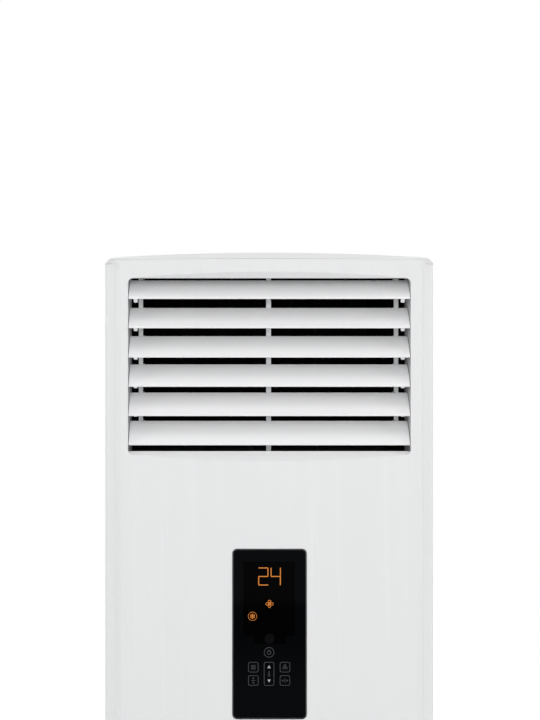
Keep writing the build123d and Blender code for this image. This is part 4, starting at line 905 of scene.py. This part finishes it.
@dataclass
class Digits(WindowPrint):
    """Two seven-segment digits, each given by its lit segments, a at the top and g across."""

    lit: tuple[str, ...] = ("abged", "fgbc")
    height: float = 29.3
    width: float = 16.6
    drop: float = 28.1
    stroke: float = 1.5
    pitch: float = 20.2
    first: float = -18.4
    gap: float = 0.3

    def build(self) -> None:
        """Builds the digits."""
        half = self.width / 2 - self.stroke / 2
        rise = self.height / 2 - self.stroke / 2
        ends = {"a": ((-half, rise), (half, rise)), "b": ((half, rise), (half, 0.0)),
                "c": ((half, 0.0), (half, -rise)), "d": ((-half, -rise), (half, -rise)),
                "e": ((-half, 0.0), (-half, -rise)), "f": ((-half, rise), (-half, 0.0)),
                "g": ((-half, 0.0), (half, 0.0))}
        shape = Shape()
        for index, segments in enumerate(self.lit):
            centre = Vector((self.first + self.width / 2 + index * self.pitch,
                             -self.drop - self.height / 2))
            for name in segments:
                start, end = (Vector(point) + centre for point in ends[name])
                trim = (end - start).normalized() * self.gap
                shape.stroke(start + trim, end - trim, self.stroke)
        self.lay(shape, "display_digits", Palette.LIT, 1)


@dataclass
class LitSigns(WindowPrint):
    """The lit signs and the remote control's receiver."""

    fan_at: Place = (0.0, -87.4)
    lobe_reach: float = 3.8
    lobe: float = 2.6
    lobe_line: float = 0.9
    hub: float = 2.5
    cool_at: Place = (-27.7, -107.6)
    ring: float = 7.2
    ring_line: float = 0.6
    arm: Span = (0.6, 3.8)
    arm_width: float = 1.0
    twig_at: float = 2.2
    twig: float = 1.7
    twig_width: float = 0.7
    twig_lean: float = 50.0
    spot_at: Place = (0.0, -144.0)
    spot: float = 8.0

    def fan(self) -> None:
        """Lit fan sign: four round lobes about a hub."""
        shape = Shape()
        for turn in range(4):
            centre = Vector(self.fan_at) + spoke(90 * turn, self.lobe_reach)
            shape.ring(self.lobe, centre, self.lobe_line, steps=20)
        shape.disc(self.hub, self.fan_at, steps=16)
        self.lay(shape, "display_fan_lamp", Palette.LIT, 1)

    def cool(self) -> None:
        """Lit cooling sign: a six-armed frost star in a ring."""
        shape = Shape()
        shape.ring(self.ring, self.cool_at, self.ring_line, steps=40)
        centre = Vector(self.cool_at)
        for turn in range(6):
            angle = 60 * turn + 30
            start, end = (centre + spoke(angle, reach) for reach in self.arm)
            shape.stroke(start, end, self.arm_width)
            for side in (-1, 1):
                fork = centre + spoke(angle, self.twig_at)
                tip = fork + spoke(angle + side * self.twig_lean, self.twig)
                shape.stroke(fork, tip, self.twig_width)
        self.lay(shape, "display_cool_lamp", Palette.LIT, 1)

    def build(self) -> None:
        """Builds the signs and the receiver's dark round spot."""
        self.fan()
        self.cool()
        shape = Shape()
        shape.disc(self.spot, self.spot_at, steps=40)
        self.lay(shape, "display_receiver", Palette.SPOT, 2)


@dataclass
class TouchKeys(WindowPrint):
    """Outlines of the touch keys, and the plain signs in them."""

    power_at: Place = (-0.7, -166.4)
    temperature_at: Place = (-0.8, -201.4)
    rows: Place = (-190.5, -212.2)
    columns: Place = (-26.4, 25.1)
    side: float = 16.6
    long_side: float = 38.6
    corner: float = 3.0
    power_radius: float = 8.3
    outline: float = 0.75
    arrow: float = 3.1
    line: float = 0.7
    thin: float = 0.6
    power_ring: float = 3.4
    power_bar: Span = (1.0, 4.4)
    tile: float = 3.0
    tile_reach: float = 2.0
    lobe: float = 2.0
    lobe_reach: float = 2.5
    bulb: float = 1.7
    bulb_drop: float = 2.6
    tube: Sizes = (1.9, 5.6, 0.9)
    tube_rise: float = 1.6
    tube_line: float = 0.5
    head: float = 1.9
    head_reach: float = 3.6
    swing_bar: float = 3.0

    def outlines(self) -> None:
        """Outlines of the round, the square and the long key."""
        shape = Shape()
        shape.ring(self.power_radius, self.power_at, self.outline, steps=48)
        for x in self.columns:
            for y in self.rows:
                key = shape.plate(self.side, self.side, self.corner, (x, y))
                shape.hollow(key, self.outline)
        key = shape.plate(self.side, self.long_side, self.corner, self.temperature_at)
        shape.hollow(key, self.outline)
        self.lay(shape, "key_outlines", Palette.KEY_LINE)

    def arrows(self) -> None:
        """Up and down arrows of the temperature key."""
        shape = Shape()
        for y, turn in zip(self.rows, (0.0, 180.0)):
            shape.disc(self.arrow, (self.temperature_at[0], y), 3, turn)
        self.lay(shape, "key_arrows", Palette.KEY_WHITE)

    def signs(self) -> None:
        """Plain signs in the keys: power, mode, fan, two swings and a thermometer."""
        shape = Shape()
        x, y = self.power_at
        shape.ring(self.power_ring, (x, y), self.line, steps=32)
        start, end = self.power_bar
        shape.stroke((x, y + start), (x, y + end), self.line)
        left, right = self.columns
        upper, lower = self.rows
        for dx in (-self.tile_reach, self.tile_reach):
            for dy in (-self.tile_reach, self.tile_reach):
                tile = shape.plate(self.tile, self.tile, self.thin, (left + dx, upper + dy), 2)
                shape.hollow(tile, self.thin)
        for turn in range(3):
            centre = Vector((right, upper)) + spoke(90 + 120 * turn, self.lobe_reach)
            shape.ring(self.lobe, centre, self.thin, steps=20)
        self.swing(shape, (left, lower), upright=True)
        self.swing(shape, (right, lower), upright=False)
        x, y = self.temperature_at
        shape.ring(self.bulb, (x, y - self.bulb_drop), self.thin, steps=20)
        shape.hollow(shape.plate(*self.tube, (x, y + self.tube_rise), steps=4), self.tube_line)
        self.lay(shape, "key_signs", Palette.KEY_LINE, 0.5)

    def swing(self, shape: Shape, at: Place, upright: bool) -> None:
        """Draws two opposed arrow heads either side of a bar.

        Args:
            shape: The drawing.
            at: Its centre.
            upright: Whether the arrows point up and down.
        """
        way, across = (90, 0) if upright else (0, 90)
        for turn in (way + 180, way):
            shape.disc(self.head, Vector(at) + spoke(turn, self.head_reach), 3, turn - 90)
        reach = spoke(across, self.swing_bar)
        shape.stroke(Vector(at) - reach, Vector(at) + reach, self.line)

    def build(self) -> None:
        """Builds the keys."""
        self.outlines()
        self.arrows()
        self.signs()


# ---- Cabinet and outlet ----
@dataclass
class Casework:
    """The outer mouldings and sheets."""

    bowed: tuple[str, ...] = ("upper_fascia", "intake_panel", "plinth")
    mouldings: tuple[str, ...] = ("left_column", "right_column", "display_bezel",
                                  "display_window")
    sheets: tuple[str, ...] = ("left_side_panel", "right_side_panel", "rear_panel",
                               "wall_bracket", "base_pan")
    bowed_edge: float = 0.9 * MM
    cover_edge: float = 1.1 * MM
    cover_crease: float = 12.0
    sheet_edge: float = 0.3 * MM
    seam_sink: float = 0.3 * MM
    seam_depth: float = 2.0 * MM

    def seam_lips(self) -> None:
        """White lips that back the narrow seams between the fascia and the columns."""
        fascia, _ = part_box("upper_fascia")
        low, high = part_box("left_column")
        seam = (high.x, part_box("intake_panel")[0].x)
        shape = Shape()
        for side in (1, -1):
            shape.plate(seam[1] - seam[0], high.z - fascia.z, 0.0,
                        (side * (seam[0] + seam[1]) / 2, (high.z + fascia.z) / 2))
        shape.extrude((0.0, 0.0, self.seam_depth))
        shape.face_front(0.0, low.y + self.seam_sink + self.seam_depth, 0.0)
        shape.piece("seam_lips", Palette.PANEL, slot_of("upper_fascia"))

    def build(self) -> None:
        """Builds the outer pieces."""
        for node in self.bowed:
            Moulding(node, self.bowed_edge, bowed=True).build()
        Cover("top_cover", self.cover_edge, arched=True, crease=self.cover_crease).build()
        for node in self.mouldings:
            Moulding(node).build()
        for node in self.sheets:
            Moulding(node, self.sheet_edge).build()
        self.seam_lips()


@dataclass
class Blade(Moulding):
    """An air blade: its lip's face stands upright while the blade is at rest."""

    pivot: Vector = field(default_factory=Vector)
    tilt: float = 0.0
    trim: float = 0.0
    lip: float = 3.4 * MM
    lip_band: float = 0.3 * MM
    rear: float = 18.6 * MM
    upper_side: float = 2.0 * MM

    def merged(self) -> Shape:
        """Merges the blade's faces, draws its lip forward and trims its rear edge.

        Returns:
            The blade's shape.
        """
        shape = super().merged()
        low = min(vert.co.z for vert in shape.mesh.verts)
        tilt = math.radians(self.tilt)
        turn = Matrix.Rotation(tilt, 3, "X")
        along, above = turn.col[1], turn.col[2]
        for vert in shape.mesh.verts:
            place = vert.co - self.pivot
            if vert.co.z < low + self.lip_band:
                vert.co.y -= math.sin(tilt) * self.lip
            elif place.dot(along) > self.rear and place.dot(above) > self.upper_side:
                vert.co -= along * self.trim
        return shape


@dataclass
class Outlet:
    """Blades, link bars, post and vanes behind the air outlet."""

    edge: float = 0.35 * MM
    frame_wall: float = 3.0 * MM
    top_tilt: float = 40.0
    tilt_step: float = 1.7
    top_trim: float = 1.7 * MM
    peg_width: float = 6.4 * MM
    peg_thick: float = 4.6 * MM
    peg_corner: float = 1.6 * MM
    peg_round: float = 0.5 * MM
    peg_root: float = 2.0 * MM
    peg_tip: float = -10.0 * MM
    peg_step: float = 1.2 * MM
    peg_ahead: float = 23.4 * MM
    peg_inset: float = 11.9 * MM
    sill_ahead: float = 0.2 * MM
    sill_nose: float = 0.4 * MM
    sill_sink: float = 0.2 * MM
    sill_depth: float = 4.5 * MM
    sill_rise: float = 3.2 * MM
    bead_height: float = 1.4 * MM
    bead_back: float = 0.84 * MM
    bead_depth: float = 3.0 * MM

    def sill(self) -> None:
        """White sill of the opening: a gentle slope that ends in an upright bead."""
        low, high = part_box("louvre_frame")
        half = high.x - self.frame_wall
        floor = low.z + self.frame_wall
        ahead = low.y + self.sill_ahead
        back = ahead + self.sill_depth
        top = floor + self.sill_rise
        profile = ((ahead, floor - self.sill_sink), (ahead, floor + self.sill_nose), (back, top),
                   (back, top + self.bead_height), (back + self.bead_depth, top + self.bead_back),
                   (back + self.bead_depth, floor - self.sill_sink))
        shape = Shape()
        shape.mesh.faces.new([shape.mesh.verts.new((-half, y, z)) for y, z in profile])
        shape.extrude((2 * half, 0.0, 0.0))
        shape.round_edges(self.edge)
        shape.piece("outlet_sill", Palette.BLADE, "blade_plastic")

    def pegs(self, blade: int, pivot: Vector, tilt: float) -> None:
        """Round-nosed pegs under both ends of a blade, shorter from blade to blade.

        Args:
            blade: The blade's number, from 1 at the top.
            pivot: Middle of its pivot.
            tilt: Its tilt at rest, in degrees.
        """
        _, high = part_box("louvre_frame")
        at = high.x - self.frame_wall - self.peg_inset
        tip = self.peg_tip + (blade - 1) * self.peg_step
        shape = Shape()
        for x in (-at, at):
            shape.plate(self.peg_width, self.peg_root - tip, self.peg_corner,
                        (x, (self.peg_root + tip) / 2), steps=4)
        shape.extrude((0.0, 0.0, self.peg_thick))
        shape.round_edges(self.peg_round)
        shape.face_front(0.0, -self.peg_ahead + self.peg_thick / 2, 0.0)
        place = Matrix.Translation(pivot) @ Matrix.Rotation(math.radians(tilt), 4, "X")
        bmesh.ops.transform(shape.mesh, matrix=place, verts=shape.mesh.verts)
        shape.piece(f"blade_pegs_{blade}", Palette.BLADE, "blade_plastic", f"blade_{blade}")

    def build(self) -> None:
        """Builds the outlet's pieces."""
        joints = {joint["name"]: joint for joint in frame["joints"]}
        for blade, node in enumerate(BLADES, 1):
            pivot = Vector(joints[f"louvre_{blade}"]["pos_m"])
            tilt = self.top_tilt + (blade - 1) * self.tilt_step
            trim = self.top_trim if blade == 1 else 0.0
            Blade(node, self.edge, pivot=pivot, tilt=tilt, trim=trim).build()
            self.pegs(blade, pivot, tilt)
        for node in VANES:
            Moulding(node, self.edge).build()
        for node in ("louvre_link_bars", "louvre_centre_post", "louvre_frame"):
            Moulding(node).build()
        self.sill()


# ---- Studio ----
@dataclass(frozen=True)
class Lamp:
    """A soft rectangular lamp: its place and size in metres, its power in watts.

    It faces the cabinet's middle line at the height that it aims for.
    """

    name: str
    place: Point
    aim: float
    size: Span
    power: float

    def build(self) -> None:
        """Hangs the lamp."""
        data = bpy.data.lights.new(self.name, "AREA")
        data.shape = "RECTANGLE"
        data.size, data.size_y = self.size
        data.energy = self.power
        lamp = linked(self.name, data)
        lamp.location = self.place
        facing = Vector((0.0, 0.0, self.aim)) - Vector(self.place)
        lamp.rotation_euler = facing.to_track_quat("-Z", "Y").to_euler()


@dataclass
class Studio:
    """Camera, lamps, floor and the white surroundings.

    The lamps are two in front, one at each side, one overhead and one behind.
    """

    lamps: tuple[Lamp, ...] = (
        Lamp("front", (0.3, -4.8, 1.9), 1.5, (4.4, 1.6), 77.0),
        Lamp("upper front", (0.0, -3.4, 3.0), 1.5, (3.2, 1.2), 12.0),
        Lamp("left", (-3.3, -1.2, 2.1), 1.3, (1.6, 2.0), 32.0),
        Lamp("right", (3.3, -1.3, 2.1), 1.3, (1.6, 2.0), 32.0),
        Lamp("overhead", (0.0, -0.3, 4.3), 1.0, (2.4, 2.4), 27.0),
        Lamp("rear", (0.6, 3.2, 2.6), 1.0, (2.4, 2.0), 45.0),
    )
    picture_width: float = 540.0
    picture_height: float = 720.0
    sensor: float = 36.0
    lens: float = 56.4
    distance: float = 1.85
    eye_height: float = 1.647
    eye_side: float = -0.05
    centre_pixel: float = 269.3
    sight: float = 50.0
    sky: float = 0.27
    floor_radius: float = 6.0
    floor_grey: float = 0.82
    floor_roughness: float = 0.9
    floor_specular: float = 0.1
    floor_lift: float = 0.32
    shadow_reach: Span = (0.7, 1.7)

    def camera(self) -> None:
        """Camera at the photograph's viewpoint, level and square to the front."""
        low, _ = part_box("louvre_frame")
        data = bpy.data.cameras.new("camera")
        data.lens = self.lens
        data.sensor_width = self.sensor
        view_height = self.distance * self.sensor / self.lens
        off_centre = (self.picture_width / 2 - self.centre_pixel) / self.picture_height
        data.shift_x = off_centre - self.eye_side / view_height
        data.clip_end = self.sight
        eye = linked("camera", data)
        eye.location = (self.eye_side, low.y - self.distance, self.eye_height)
        eye.rotation_euler = (math.radians(90), 0.0, 0.0)
        bpy.context.scene.camera = eye

    def surroundings(self) -> None:
        """White for the camera and for reflections, a softer grey as light."""
        world = bpy.data.worlds.new("studio")
        world.use_nodes = True
        bpy.context.scene.world = world
        shader = Shader(world.node_tree)
        path = shader.node("LightPath")
        seen = shader.maths("MAXIMUM", path.outputs["Is Camera Ray"],
                            path.outputs["Is Transmission Ray"])
        seen = shader.maths("MAXIMUM", seen, path.outputs["Is Glossy Ray"])
        shader.adjust(world.node_tree.nodes["Background"], Color=WHITE,
                      Strength=shader.ramp(seen, 0.0, 1.0, self.sky, 1.0))

    def floor_material(self) -> bpy.types.Material:
        """Pale near the cabinet, where it keeps the shadow, and plain white beyond.

        Returns:
            The floor's material.
        """
        made = bpy.data.materials.new("floor_pale")
        made.use_nodes = True
        shader = Shader(made.node_tree)
        reach = shader.pattern("VectorMath", operation="LENGTH")
        far = shader.ramp(reach.outputs["Value"], *self.shadow_reach)
        seen = shader.node("LightPath").outputs["Is Camera Ray"]
        blank = shader.maths("MULTIPLY", far, seen)
        grey = shader.mix(blank, shaded(WHITE, self.floor_grey), shaded(WHITE, 0.0))
        lift = shader.ramp(far, 0.0, 1.0, self.floor_lift, 1.0)
        shader.adjust(shader.body, Roughness=self.floor_roughness,
                      Specular_IOR_Level=self.floor_specular, Base_Color=grey,
                      Emission_Color=WHITE, Emission_Strength=shader.maths("MULTIPLY", lift, seen))
        return made

    def floor(self) -> None:
        """Round floor under the cabinet."""
        shape = Shape()
        shape.disc(self.floor_radius, (0.0, 0.0), steps=96)
        mesh = bpy.data.meshes.new("studio_floor")
        shape.mesh.to_mesh(mesh)
        shape.mesh.free()
        mesh.materials.append(self.floor_material())
        linked("studio_floor", mesh)

    def build(self) -> None:
        """Builds the whole studio."""
        bpy.context.scene.view_settings.view_transform = "Standard"
        self.surroundings()
        self.floor()
        for lamp in self.lamps:
            lamp.build()
        self.camera()
        log.info("studio: %d lamps", len(self.lamps))


def main() -> None:
    """Dresses the air conditioner and sets up the studio."""
    logging.basicConfig(level=logging.INFO, format="%(name)s: %(message)s")
    dress_nodes()
    for assembly in (Casework(), Outlet(), Screen(), Digits(), LitSigns(), TouchKeys(), Studio()):
        assembly.build()


if __name__ == "__main__":
    main()
